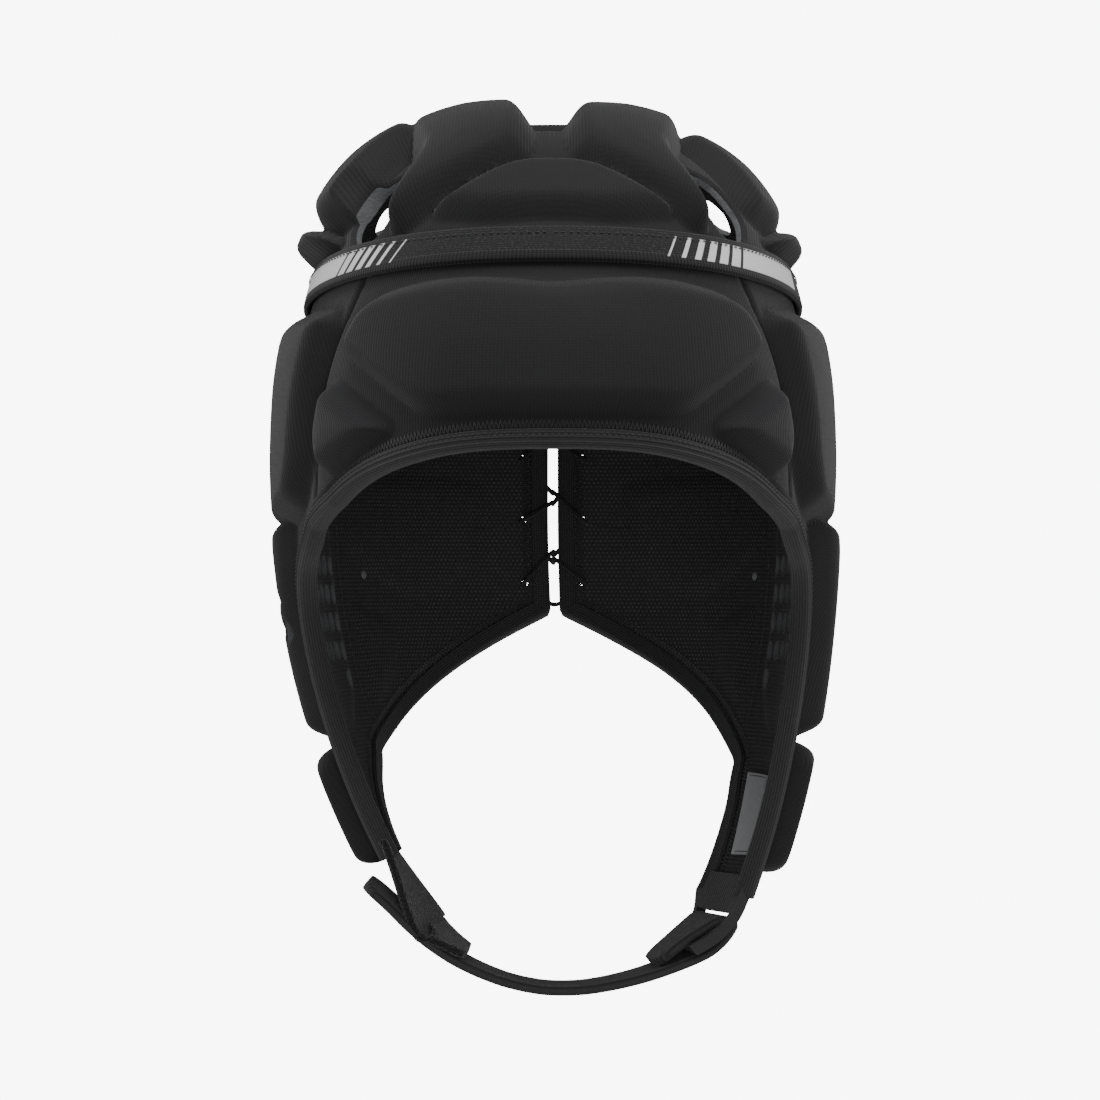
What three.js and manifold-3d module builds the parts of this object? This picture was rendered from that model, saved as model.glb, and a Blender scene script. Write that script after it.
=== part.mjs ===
// Rugby scrum cap: a soft padded head guard with a laced split at the back, open ears and a
// chin strap. Millimetres, +Z up, the face looks towards -Y. The origin is inside the crown,
// where the top of the head touches the lining.
//
// Every panel follows one head surface. A place on it is an azimuth in degrees (0 at the
// forehead, 90 at the +X ear, 180 at the nape), a level (0 at the crown, 1 at the widest
// line, above 1 on the skirt) and a rise in millimetres out from the lining.

import * as THREE from 'three';
import Module from 'manifold-3d';
import { mergeVertices } from 'three/addons/utils/BufferGeometryUtils.js';

const wasm = await Module();
wasm.setup();

// Head space
const halfBreadth = 78;
const frontReach = 107;
const rearReach = 92;
const crownHeight = 115;
const skirtDrop = 100;
const planPower = 2.25;
const sidePower = 2.9;
const frontPower = 2.45;
const jawTuck = 0.224;
const napeTuckLeft = 0.15;
const napeTuckRight = 0.35;
const tuckPower = 2.1;
const sway = 5.4;
const swayPower = 1.8;

// Wall, pads and seams
const wall = 3;
const padRise = 8;
const earPadRiseLeft = 8;
const earPadRiseRight = 9.6;
const jawPadRise = 9;
const bevelWidth = 6.5;
const padCornerRadius = 7;
const seamGap = 0.3;
const jawPadClearance = 0.8;
const flapClearance = 0.8;
const gridPitch = 15;
const crownPitch = 18;
const holeSides = 6;
const earHoleSides = 5;
const wideMound = 22;
const halfWayShare = 0.62;
const footShare = 0.16;
const jawFootShare = 0.1;
const deepestInset = 0.8;
const longestChamfer = 0.4;

// Band over the crown seam
const bandWidth = 12;
const bandThickness = 2.2;
const bandClearance = 0.5;
const bandFrontHeight = -0.333 * crownHeight;
const bandFall = 0.106;

// Tape that wraps the open edges
const tape = 1;
const tapeFit = 0.5;
const tapeLeg = 4.5;

// Split and lace
const splitGap = 3;
const laceDiameter = 1.5;
const eyeletRadius = 2;
const laceClearance = 0.4;

// Openings in the panels
const earHoleRadius = 3.5;
const earHolePitch = 9.2;
const tieHoleRadius = 1.5;
const ventCornerRadius = 5;

// Strap
const strapWidth = 25;
const strapThickness = 3;
const anchorWidth = 31;
const anchorThickness = 3;
const slotLength = 9;
const tongueWidth = 26;
const tongueThickness = 3;
const tongueClearance = 0.5;
const chinDrop = 153;
const chinShift = 1.5;

// Label
const labelThickness = 0.6;

const materials = {
  knit: new THREE.MeshStandardMaterial({ color: 0x1d1e20, roughness: 0.85, metalness: 0 }),
  band: new THREE.MeshStandardMaterial({ color: 0x26272a, roughness: 0.8, metalness: 0 }),
  tape: new THREE.MeshStandardMaterial({ color: 0x17181a, roughness: 0.75, metalness: 0 }),
  lace: new THREE.MeshStandardMaterial({ color: 0x101012, roughness: 0.7, metalness: 0 }),
  strap: new THREE.MeshStandardMaterial({ color: 0x1b1c1e, roughness: 0.85, metalness: 0 }),
  pile: new THREE.MeshStandardMaterial({ color: 0x151517, roughness: 0.95, metalness: 0 }),
  label: new THREE.MeshStandardMaterial({ color: 0x77797c, roughness: 0.6, metalness: 0 }),
};

const lerp = THREE.MathUtils.lerp;
const toRadians = THREE.MathUtils.degToRad;
const toDegrees = THREE.MathUtils.radToDeg;

// A straight-line lookup in a table of [key, value] rows with rising keys.
function lookUp(rows, key) {
  const last = rows.length - 1;
  const clamped = THREE.MathUtils.clamp(key, rows[0][0], rows[last][0]);
  const next = Math.max(1, rows.findIndex((row) => row[0] >= clamped));
  const [lowKey, lowValue] = rows[next - 1];
  const [highKey, highValue] = rows[next];
  return lerp(lowValue, highValue, (clamped - lowKey) / (highKey - lowKey));
}

// The lining: a superellipse in plan under a domed crown, tucked in below the widest level.
function liningPoint(azimuth, level) {
  const angle = toRadians(azimuth);
  const side = Math.sin(angle);
  const ahead = Math.cos(angle);
  const reach = ahead > 0 ? frontReach : rearReach;
  const plan = ((Math.abs(side) / halfBreadth) ** planPower
    + (Math.abs(ahead) / reach) ** planPower) ** (-1 / planPower);
  if (level <= 1) {
    const power = lerp(sidePower, frontPower, ahead ** 2);
    const tilt = level * Math.PI / 2;
    const radius = ((Math.sin(tilt) / plan) ** power
      + (Math.cos(tilt) / crownHeight) ** power) ** (-1 / power);
    const across = radius * Math.sin(tilt);
    return new THREE.Vector3(across * side, -across * ahead, radius * Math.cos(tilt) - crownHeight);
  }
  const drop = level - 1;
  const napeTuck = lerp(napeTuckLeft, napeTuckRight, (1 + side) / 2) * Math.max(0, -ahead) ** 2;
  const across = plan * (1 - (jawTuck + napeTuck) * drop ** tuckPower);
  return new THREE.Vector3(
    across * side + sway * drop ** swayPower,
    -across * ahead,
    -crownHeight - drop * skirtDrop,
  );
}

function outward(azimuth, level) {
  const step = 1e-3;
  const safeLevel = Math.max(level, 2 * step);
  const along = liningPoint(azimuth + step, safeLevel).sub(liningPoint(azimuth - step, safeLevel));
  const down = liningPoint(azimuth, safeLevel + step).sub(liningPoint(azimuth, safeLevel - step));
  return down.cross(along).normalize();
}

function headPoint(azimuth, level, rise) {
  return liningPoint(azimuth, level).addScaledVector(outward(azimuth, level), rise);
}

// The azimuth and level of the lining under a point near it: the inverse of liningPoint.
function locate(point) {
  if (point.z > -crownHeight) {
    const across = Math.hypot(point.x, point.y);
    const level = Math.atan2(across, point.z + crownHeight) / (Math.PI / 2);
    return [toDegrees(Math.atan2(point.x, -point.y)), level];
  }
  const drop = (-crownHeight - point.z) / skirtDrop;
  const x = point.x - sway * drop ** swayPower;
  return [toDegrees(Math.atan2(x, -point.y)), 1 + drop];
}

function lift(point, rise) {
  const [azimuth, level] = locate(point);
  return headPoint(azimuth, level, rise);
}

// How far the lining moves for one unit of level.
function levelLength(azimuth, level) {
  const step = 1e-3;
  return liningPoint(azimuth, level + step).distanceTo(liningPoint(azimuth, level)) / step;
}

// The level where a band that falls towards the back crosses this azimuth.
function bandLevel(azimuth) {
  let low = 0.2;
  let high = 0.95;
  for (let i = 0; i < 24; i += 1) {
    const middle = (low + high) / 2;
    const point = liningPoint(azimuth, middle);
    const height = bandFrontHeight - bandFall * (point.y + frontReach);
    if (point.z > height) {
      low = middle;
    } else {
      high = middle;
    }
  }
  return (low + high) / 2;
}

const gapAngle = toDegrees(seamGap / halfBreadth);
const gapLevel = seamGap / (crownHeight * Math.PI / 2);
const upperBandLevel = (azimuth) => bandLevel(azimuth) - gapLevel / 2;
const lowerBandLevel = (azimuth) => bandLevel(azimuth) + gapLevel / 2;

// Meshes and solids

function geometryOf(points, triangles) {
  const geometry = new THREE.BufferGeometry();
  geometry.setAttribute('position', new THREE.Float32BufferAttribute(
    points.flatMap((point) => [point.x, point.y, point.z]),
    3,
  ));
  geometry.setIndex(triangles);
  return geometry;
}

function solidOf(geometry) {
  const bare = geometry.clone();
  bare.deleteAttribute('normal');
  bare.deleteAttribute('uv');
  const merged = mergeVertices(bare, 1e-4);
  return new wasm.Manifold(new wasm.Mesh({
    numProp: 3,
    vertProperties: new Float32Array(merged.attributes.position.array),
    triVerts: new Uint32Array(merged.index.array),
  }));
}

function geometryOfSolid(solid) {
  const mesh = solid.getMesh();
  const geometry = new THREE.BufferGeometry();
  geometry.setAttribute('position', new THREE.BufferAttribute(new Float32Array(mesh.vertProperties), 3));
  geometry.setIndex(new THREE.BufferAttribute(new Uint32Array(mesh.triVerts), 1));
  return geometry;
}

function combine(base, additions, cuts) {
  let solid = solidOf(base);
  for (const addition of additions) {
    solid = solid.add(solidOf(addition));
  }
  for (const cut of cuts) {
    solid = solid.subtract(solidOf(cut));
  }
  return geometryOfSolid(solid);
}

// Two triangles for each step of a strip between two rings of the same number of points.
function strip(triangles, lower, upper, count, closed) {
  const steps = closed ? count : count - 1;
  for (let i = 0; i < steps; i += 1) {
    const next = (i + 1) % count;
    triangles.push(lower + i, lower + next, upper + i);
    triangles.push(lower + next, upper + next, upper + i);
  }
}

// A panel of one thickness over a grid. place(u, v) gives azimuth and level, v runs downwards.
function panelGeometry(place, across, down, low, high) {
  const points = [];
  const triangles = [];
  for (const rise of [low, high]) {
    for (let j = 0; j <= down; j += 1) {
      for (let i = 0; i <= across; i += 1) {
        const [azimuth, level] = place(i / across, j / down);
        points.push(headPoint(azimuth, level, rise));
      }
    }
  }
  const row = across + 1;
  const layer = row * (down + 1);
  for (let j = 0; j < down; j += 1) {
    for (let i = 0; i < across; i += 1) {
      const a = j * row + i;
      triangles.push(a, a + 1, a + row, a + 1, a + row + 1, a + row);
      const b = a + layer;
      triangles.push(b, b + row, b + 1, b + 1, b + row, b + row + 1);
    }
  }
  const rim = [];
  for (let i = 0; i < across; i += 1) rim.push(i);
  for (let j = 0; j < down; j += 1) rim.push(j * row + across);
  for (let i = across; i > 0; i -= 1) rim.push(down * row + i);
  for (let j = down; j > 0; j -= 1) rim.push(j * row);
  rim.forEach((point, k) => {
    const next = rim[(k + 1) % rim.length];
    triangles.push(point, point + layer, next, next, point + layer, next + layer);
  });
  return geometryOf(points, triangles);
}

// A domed panel closed at the crown, with its rim at the level that rimLevel gives.
function domeGeometry(rimLevel, around, shares, low, high) {
  const points = [];
  const triangles = [];
  for (const rise of [low, high]) {
    points.push(headPoint(0, 0, rise));
    for (const share of shares) {
      for (let i = 0; i < around; i += 1) {
        const azimuth = 360 * i / around;
        points.push(headPoint(azimuth, rimLevel(azimuth) * share, rise));
      }
    }
  }
  const layer = 1 + around * shares.length;
  for (let i = 0; i < around; i += 1) {
    const next = (i + 1) % around;
    triangles.push(0, 1 + next, 1 + i);
    triangles.push(layer, layer + 1 + i, layer + 1 + next);
  }
  for (let k = 1; k < shares.length; k += 1) {
    const inner = 1 + (k - 1) * around;
    const outer = 1 + k * around;
    strip(triangles, inner, outer, around, true);
    strip(triangles, layer + outer, layer + inner, around, true);
  }
  const rim = 1 + (shares.length - 1) * around;
  strip(triangles, rim, layer + rim, around, true);
  return geometryOf(points, triangles);
}

// The outline of a pad or hole: corners cut off, with a point every pitch or so along the
// straight edges, in turn so that it runs anticlockwise seen from outside.
function outlineOf(corners, radius, pitch) {
  const tips = corners.map(([azimuth, level]) => liningPoint(azimuth, level));
  const centre = tips.reduce((sum, tip) => sum.add(tip), new THREE.Vector3()).divideScalar(tips.length);
  const turn = new THREE.Vector3();
  tips.forEach((tip, i) => {
    const next = tips[(i + 1) % tips.length];
    turn.add(tip.clone().sub(centre).cross(next.clone().sub(centre)));
  });
  if (turn.dot(outward(...locate(centre))) < 0) tips.reverse();
  const ring = [];
  tips.forEach((tip, i) => {
    const before = tips[(i + tips.length - 1) % tips.length];
    const after = tips[(i + 1) % tips.length];
    const reachBefore = Math.min(radius / tip.distanceTo(before), longestChamfer);
    const reachAfter = Math.min(radius / tip.distanceTo(after), longestChamfer);
    const entry = tip.clone().lerp(before, reachBefore);
    const exit = tip.clone().lerp(after, reachAfter);
    ring.push(entry, exit);
    const nextEntry = after.clone().lerp(tip, Math.min(radius / tip.distanceTo(after), longestChamfer));
    const steps = Math.max(1, Math.round(exit.distanceTo(nextEntry) / pitch));
    for (let k = 1; k < steps; k += 1) {
      ring.push(exit.clone().lerp(nextEntry, k / steps));
    }
  });
  return { ring: ring.map((point) => lift(point, 0)), centre };
}

// A mound on the head surface: a floor ring, one ring for each inset and rise of the
// profile, on a wide mound a ring half way to the middle, and the middle point.
function moundGeometry(corners, floor, profile, radius, pitch) {
  const { ring, centre } = outlineOf(corners, radius, pitch);
  const count = ring.length;
  const shares = ring.map((point, i) => {
    const tangent = ring[(i + 1) % count].clone().sub(ring[(i + count - 1) % count]).normalize();
    return 1 / tangent.cross(centre.clone().sub(point)).length();
  });
  const ringAt = (inset, rise) => ring.map((point, i) => lift(
    point.clone().lerp(centre, Math.min(inset * shares[i], deepestInset)),
    rise,
  ));
  const halfWay = (rise) => ring.map((point) => lift(point.clone().lerp(centre, halfWayShare), rise));
  const top = profile[profile.length - 1].rise;
  const rings = [
    halfWay(floor),
    ringAt(0, floor),
    ...profile.map(({ inset, rise }) => ringAt(inset, rise)),
  ];
  if (Math.max(...shares) < 1 / wideMound) rings.push(halfWay(top));
  const points = [lift(centre, floor), ...rings.flat(), lift(centre, top)];
  const triangles = [];
  rings.forEach((_, k) => {
    if (k > 0) strip(triangles, 1 + (k - 1) * count, 1 + k * count, count, true);
  });
  const lastRing = 1 + (rings.length - 1) * count;
  const apex = points.length - 1;
  for (let i = 0; i < count; i += 1) {
    const next = (i + 1) % count;
    triangles.push(0, 1 + next, 1 + i);
    triangles.push(apex, lastRing + i, lastRing + next);
  }
  return geometryOf(points, triangles);
}

// A raised foam pad, sunk half way into the wall that it is moulded on.
function padGeometry(corners, rise) {
  return moundGeometry(corners, wall / 2, [
    { inset: bevelWidth * footShare, rise: wall + rise * 0.5 },
    { inset: bevelWidth, rise: wall + rise },
  ], padCornerRadius, 2 * gridPitch);
}

// A tool that cuts straight through the wall and whatever pad stands on it.
function holeGeometry(corners, radius) {
  const { ring, centre } = outlineOf(corners, radius, gridPitch);
  const count = ring.length;
  const low = -wall;
  const high = 2 * (wall + padRise);
  const points = [low, high].flatMap((rise) => [lift(centre, rise), ...ring.map((p) => lift(p, rise))]);
  const triangles = [];
  const layer = count + 1;
  for (let i = 0; i < count; i += 1) {
    const next = (i + 1) % count;
    triangles.push(0, 1 + next, 1 + i);
    triangles.push(layer, layer + 1 + i, layer + 1 + next);
  }
  strip(triangles, 1, layer + 1, count, true);
  return geometryOf(points, triangles);
}

// The corners of a round hole, as places on the head surface.
function roundHole(azimuth, level, radius, sides) {
  const middle = liningPoint(azimuth, level);
  const normal = outward(azimuth, level);
  const aside = new THREE.Vector3(0, 0, 1).cross(normal).normalize();
  const up = normal.clone().cross(aside);
  return Array.from({ length: sides }, (_, k) => {
    const turn = 2 * Math.PI * (k + 0.5) / sides;
    const corner = middle.clone().addScaledVector(aside, radius * Math.cos(turn));
    return locate(corner.addScaledVector(up, radius * Math.sin(turn)));
  });
}

// A round tool straight along the normal, with flat ends.
function drillGeometry(azimuth, level, radius, sides) {
  const ring = roundHole(azimuth, level, radius, sides).map((corner) => liningPoint(...corner));
  const normal = outward(azimuth, level);
  const middle = liningPoint(azimuth, level);
  const points = [-wall, 2 * (wall + padRise)].flatMap((rise) => [middle, ...ring].map(
    (point) => point.clone().addScaledVector(normal, rise),
  ));
  const triangles = [];
  const layer = sides + 1;
  for (let i = 0; i < sides; i += 1) {
    const next = (i + 1) % sides;
    triangles.push(0, 1 + next, 1 + i);
    triangles.push(layer, layer + 1 + i, layer + 1 + next);
  }
  strip(triangles, 1, layer + 1, sides, true);
  return geometryOf(points, triangles);
}

const mirrored = (corners, side) => corners.map(([azimuth, level]) => [side * azimuth, level]);

// Crown: front and rear pads with four vents between them.
const crownPads = {
  middle: [
    [[-10, 0.37], [9, 0.37], [27, 0.488], [13, 0.507], [-13, 0.507], [-27, 0.488]],
    [[-133, 0.115], [133, 0.115], [162, 0.44], [180, 0.44], [-162, 0.44]],
  ],
  // The channel between the two top pads runs a little left of the middle.
  top: [
    {
      share: 1.3,
      corners: [[-106, 0.045], [-7, 0.27], [-8, 0.366], [-31, 0.508], [-36, 0.50], [-36, 0.365], [-94, 0.245]],
    },
    {
      share: 1.18,
      corners: [[112, 0.025], [5, 0.27], [6.5, 0.362], [29, 0.508], [34, 0.50], [32.5, 0.36], [91, 0.215]],
    },
  ],
  // Shares of the usual rise on the left and on the right, where the left ones are fuller.
  paired: [
    {
      left: 1.45,
      right: 0.9,
      corners: [[57, 0.275], [64, 0.225], [112, 0.21], [107, 0.445], [67, 0.448], [54, 0.435]],
    },
    {
      left: 1.3,
      right: 1,
      corners: [[57, 0.482], [66, 0.45], [84, 0.425], [108, 0.43], [110, 0.48], [84, 0.492], [64, 0.489]],
    },
    {
      left: 1.2,
      right: 1,
      corners: [[115, 0.145], [113, 0.24], [131, 0.305], [138, 0.46], [155, 0.46], [150, 0.30]],
    },
  ],
};
const ventCorners = {
  front: { left: [[-44, 0.335], [-56, 0.37], [-56, 0.45], [-49, 0.5], [-41, 0.5], [-38, 0.41]],
    right: [[40, 0.335], [50, 0.36], [52, 0.44], [46, 0.5], [38.5, 0.5], [36.5, 0.41]] },
  rear: [[117.5, 0.325], [127, 0.34], [129, 0.4], [119, 0.415], [113.5, 0.365]],
};
const domeShares = [0.2, 0.4, 0.59, 0.76, 0.89, 1];

function crownPanel() {
  const around = 4 * Math.round(2 * Math.PI * halfBreadth / crownPitch / 4);
  const base = domeGeometry(upperBandLevel, around, domeShares, 0, wall);
  const pads = crownPads.middle.map((corners) => padGeometry(corners, padRise * 0.8));
  pads.push(...crownPads.top.map(({ share, corners }) => padGeometry(corners, padRise * share)));
  for (const side of [-1, 1]) {
    for (const { left, right, corners } of crownPads.paired) {
      pads.push(padGeometry(mirrored(corners, side), padRise * (side < 0 ? left : right)));
    }
  }
  const vents = [
    holeGeometry(ventCorners.front.left, ventCornerRadius),
    holeGeometry(ventCorners.front.right, ventCornerRadius),
    ...[-1, 1].map((side) => holeGeometry(mirrored(ventCorners.rear, side), ventCornerRadius)),
  ];
  return combine(base, pads, vents);
}

// Forehead: its side seams and brow line, and three pads. Both panels that meet at a seam
// have the same rows there.
const seamRows = 6;
const foreheadSeam = [[0, 37.5], [0.12, 40], [0.28, 45], [0.42, 48.5], [0.7, 51], [1, 52.5]];
const browLine = [[0, 0.899], [20.5, 0.914], [33, 0.95], [46, 1.02], [52.5, 1.065]];
const foreheadPads = {
  middle: [[-35, 0.632], [0, 0.632], [35, 0.632], [40, 0.712], [20, 0.85], [0, 0.848], [-20, 0.85],
    [-40, 0.712]],
  corner: [[45, 0.75], [26, 0.866], [33, 0.9], [45, 0.95], [48, 0.86]],
};

function foreheadPlace(across, down) {
  const turn = 2 * across - 1;
  const azimuth = turn * (lookUp(foreheadSeam, down) - gapAngle / 2);
  const level = lerp(lowerBandLevel(azimuth), lookUp(browLine, Math.abs(azimuth)), down);
  return [azimuth, level];
}

function foreheadSeamPlace(down) {
  const azimuth = lookUp(foreheadSeam, down);
  return [azimuth, lerp(lowerBandLevel(azimuth), lookUp(browLine, azimuth), down)];
}

const foreheadAcross = 14;

function foreheadPanel() {
  const base = panelGeometry(foreheadPlace, foreheadAcross, seamRows - 1, 0, wall);
  const pads = [padGeometry(foreheadPads.middle, padRise)];
  for (const side of [-1, 1]) {
    pads.push(padGeometry(mirrored(foreheadPads.corner, side), padRise));
  }
  return combine(base, pads, []);
}

// Sides: the temple, the open ear and the flap that runs down to the jaw. The rows below the
// brow give the face edge and the rear edge. The flaps differ, as the fastened strap pulls
// the left one in.
const rearSeamAzimuth = 122;
const cheekRows = {
  left: [
    { front: [58, 1.13], rear: [rearSeamAzimuth, 1.15] },
    { front: [66.5, 1.21], rear: [rearSeamAzimuth, 1.26] },
    { front: [73.5, 1.32], rear: [rearSeamAzimuth, 1.38] },
    { front: [77.7, 1.45], rear: [rearSeamAzimuth, 1.5] },
    { front: [79.5, 1.58], rear: [rearSeamAzimuth, 1.62] },
    { front: [79, 1.7], rear: [rearSeamAzimuth, 1.74] },
  ],
  right: [
    { front: [58, 1.13], rear: [rearSeamAzimuth, 1.15] },
    { front: [66, 1.21], rear: [rearSeamAzimuth, 1.26] },
    { front: [71.5, 1.32], rear: [rearSeamAzimuth, 1.38] },
    { front: [74, 1.45], rear: [rearSeamAzimuth, 1.5] },
    { front: [74.5, 1.58], rear: [rearSeamAzimuth, 1.62] },
    { front: [74, 1.7], rear: [rearSeamAzimuth, 1.74] },
  ],
};
const flapRows = {
  left: [
    { front: [78.7, 1.79], rear: [118.5, 1.82] },
    { front: [79, 1.88], rear: [111.5, 1.9] },
    { front: [79.8, 1.96], rear: [106, 1.97] },
    { front: [80.5, 2.03], rear: [102, 2.04] },
    { front: [81, 2.1], rear: [100, 2.1] },
  ],
  right: [
    { front: [75, 1.8], rear: [121, 1.87] },
    { front: [77.5, 1.91], rear: [119, 1.96] },
    { front: [80.5, 2.02], rear: [118, 2.05] },
    { front: [84, 2.13], rear: [117.5, 2.14] },
    { front: [86, 2.23], rear: [117.5, 2.23] },
  ],
};
const sidePads = {
  temple: [[44.5, 0.632], [50.8, 0.77], [53.2, 0.92], [58, 1.005], [80, 1.08], [94, 1.085], [93, 0.61]],
  upper: [[97, 0.612], [118.5, 0.625], [118.5, 0.80], [97, 0.80]],
  lower: [[97.5, 0.842], [118.5, 0.842], [118.5, 1.055], [98, 1.07]],
  ear: {
    left: [[70, 1.035], [117.5, 1.02], [118.5, 1.58], [109, 1.73], [88, 1.72], [86.3, 1.42], [82, 1.24]],
    right: [[67, 1.035], [117.5, 1.02], [118.5, 1.58], [109, 1.73], [84, 1.72], [81.5, 1.42], [77, 1.24]],
  },
};
// Rows of ear holes in each column, from the front column to the rear one.
const earColumns = [
  { azimuth: 90.6, first: 0, last: 3 },
  { azimuth: 96.7, first: 0, last: 4 },
  { azimuth: 102.8, first: 0, last: 4 },
  { azimuth: 108.9, first: 0, last: 4 },
  { azimuth: 115, first: 1, last: 5 },
];
const firstEarLevel = 1.1;

// The rows of a side panel from the band to the tip: the forehead seam, then the face edge.
function sideRows(side) {
  const rows = [];
  for (let k = 0; k < seamRows; k += 1) {
    const [azimuth, level] = foreheadSeamPlace(k / (seamRows - 1));
    const share = k / (seamRows - 1);
    const rearLevel = lerp(lowerBandLevel(rearSeamAzimuth), cheekRows.right[0].rear[1] - 0.1, share);
    rows.push({ front: [azimuth, level], rear: [rearSeamAzimuth, rearLevel] });
  }
  const hand = side < 0 ? 'left' : 'right';
  return [...rows, ...cheekRows[hand], ...flapRows[hand]];
}

function sidePlace(side) {
  const rows = sideRows(side);
  const topShare = 1 / (rows.length - 1);
  return (across, down) => {
    const { front, rear } = rows[Math.round(down * (rows.length - 1))];
    const turn = side < 0 ? 1 - across : across;
    const azimuth = lerp(front[0] + gapAngle / 2, rear[0] - gapAngle / 2, turn);
    const edge = lerp(front[1], rear[1], turn);
    const level = down < topShare / 2 ? lowerBandLevel(azimuth) : edge;
    return [side * azimuth, level];
  };
}

const sideAcross = 7;

function sidePanel(side) {
  const rows = sideRows(side);
  const base = panelGeometry(sidePlace(side), sideAcross, rows.length - 1, 0, wall);
  const pads = [
    padGeometry(mirrored(sidePads.temple, side), padRise),
    padGeometry(mirrored(sidePads.upper, side), padRise),
    padGeometry(mirrored(sidePads.lower, side), padRise),
    side < 0
      ? padGeometry(mirrored(sidePads.ear.left, side), earPadRiseLeft)
      : padGeometry(sidePads.ear.right, earPadRiseRight),
  ];
  const holes = earColumns.flatMap(({ azimuth, first, last }) => Array.from(
    { length: last - first + 1 },
    (_, k) => drillGeometry(
      side * azimuth,
      firstEarLevel + (first + k) * earHolePitch / skirtDrop,
      earHoleRadius,
      earHoleSides,
    ),
  ));
  return combine(base, pads, holes);
}

// Back: two panels with the laced split between them.
const splitEdge = splitGap / 2 + tape + tapeFit;
const splitAzimuth = 180 - toDegrees(Math.asin(splitEdge / rearReach));
const napeLine = {
  left: [[rearSeamAzimuth, 1.78], [129, 1.735], [140, 1.65], [152, 1.55], [168, 1.42], [180, 1.33]],
  right: [[rearSeamAzimuth, 1.82], [129, 1.755], [140, 1.65], [152, 1.545], [168, 1.42], [180, 1.33]],
};
const backPads = [
  [[126.5, 0.665], [147, 0.68], [167, 0.70], [166, 0.89], [126.5, 0.865]],
  [[126.5, 0.915], [166, 0.94], [164, 1.2], [148, 1.32], [126.5, 1.15]],
  [[126.5, 1.30], [142, 1.39], [138, 1.56], [127, 1.66]],
];
const laceRows = [
  { level: 0.74, aside: 10 },
  { level: 0.885, aside: 10 },
  { level: 1.04, aside: 10 },
  { level: 1.25, aside: 10 },
];
const tieHoles = { left: [-133, 1.222], right: [128.5, 1.227] };
const backAcross = 7;
const backDown = 9;

function backPlace(side) {
  const line = napeLine[side < 0 ? 'left' : 'right'];
  return (across, down) => {
    const turn = side < 0 ? 1 - across : across;
    const azimuth = lerp(rearSeamAzimuth + gapAngle / 2, splitAzimuth, turn);
    const level = lerp(lowerBandLevel(azimuth), lookUp(line, azimuth), down);
    return [side * azimuth, level];
  };
}

const eyeletAzimuth = (aside) => 180 - toDegrees(Math.asin(aside / rearReach));

function backPanel(side) {
  const base = panelGeometry(backPlace(side), backAcross, backDown, 0, wall);
  const pads = backPads.map((corners) => padGeometry(mirrored(corners, side), padRise));
  const holes = laceRows.map(({ level, aside }) => drillGeometry(
    side * eyeletAzimuth(aside),
    level,
    eyeletRadius,
    holeSides,
  ));
  holes.push(drillGeometry(...tieHoles[side < 0 ? 'left' : 'right'], tieHoleRadius, holeSides));
  return combine(base, pads, holes);
}

// Jaw pads: loose pads sewn on the outside of the flaps.
const jawPads = {
  left: [[-83.5, 1.748], [-110, 1.756], [-101.8, 1.93], [-93.4, 2.1], [-87, 2.11]],
  right: [[80.5, 1.737], [116, 1.742], [112, 2.14], [90.3, 2.155], [83, 1.92]],
};

function jawPad(corners) {
  return moundGeometry(corners, wall + jawPadClearance, [
    { inset: bevelWidth * jawFootShare, rise: wall + jawPadRise * 0.75 },
    { inset: bevelWidth * 0.8, rise: wall + jawPadRise },
  ], padCornerRadius, gridPitch);
}

// Band: a closed tape over the seam between the crown and everything below it.
function bandGeometry() {
  const around = 4 * Math.round(2 * Math.PI * frontReach / gridPitch / 4);
  const low = wall + bandClearance;
  const high = low + bandThickness;
  const section = [[-0.5, low], [-0.5, high], [0, high], [0.5, high], [0.5, low], [0, low]];
  const points = [];
  for (const [shift, rise] of section) {
    for (let i = 0; i < around; i += 1) {
      const azimuth = 360 * i / around;
      const level = bandLevel(azimuth);
      const step = shift * bandWidth / levelLength(azimuth, level);
      points.push(headPoint(azimuth, level + step, rise));
    }
  }
  const triangles = [];
  section.forEach((_, k) => {
    strip(triangles, ((k + 1) % section.length) * around, k * around, around, true);
  });
  return geometryOf(points, triangles);
}

// Tape folded over an open edge. Each station is a place on the edge; the way out of the
// panel is level with the surface and square to the edge.
function tapeGeometry(places) {
  const count = places.length;
  const edge = places.map(([azimuth, level]) => liningPoint(azimuth, level));
  const out = tape + tapeFit;
  const section = [
    [-tapeLeg, wall + tapeFit],
    [tapeFit, wall + tapeFit],
    [tapeFit, -tapeFit],
    [-tapeLeg, -tapeFit],
    [-tapeLeg, -out],
    [out, -out],
    [out, wall + out],
    [-tapeLeg, wall + out],
  ];
  const points = [];
  edge.forEach((point, i) => {
    const before = edge[Math.max(i - 1, 0)];
    const after = edge[Math.min(i + 1, count - 1)];
    const normal = outward(...places[i]);
    const along = after.clone().sub(before).normalize();
    const away = along.clone().cross(normal).normalize();
    for (const [reach, rise] of section) {
      points.push(lift(point.clone().addScaledVector(away, reach), rise));
    }
  });
  const triangles = [];
  for (let i = 0; i < count - 1; i += 1) {
    for (let k = 0; k < 8; k += 1) {
      const next = (k + 1) % 8;
      const a = i * 8;
      triangles.push(a + k, a + 8 + k, a + next, a + next, a + 8 + k, a + 8 + next);
    }
  }
  const last = (count - 1) * 8;
  for (const [a, b, c, d] of [[0, 1, 6, 7], [1, 2, 5, 6], [2, 3, 4, 5]]) {
    triangles.push(a, b, c, a, c, d);
    triangles.push(last + a, last + c, last + b, last + a, last + d, last + c);
  }
  return geometryOf(points, triangles);
}

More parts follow.
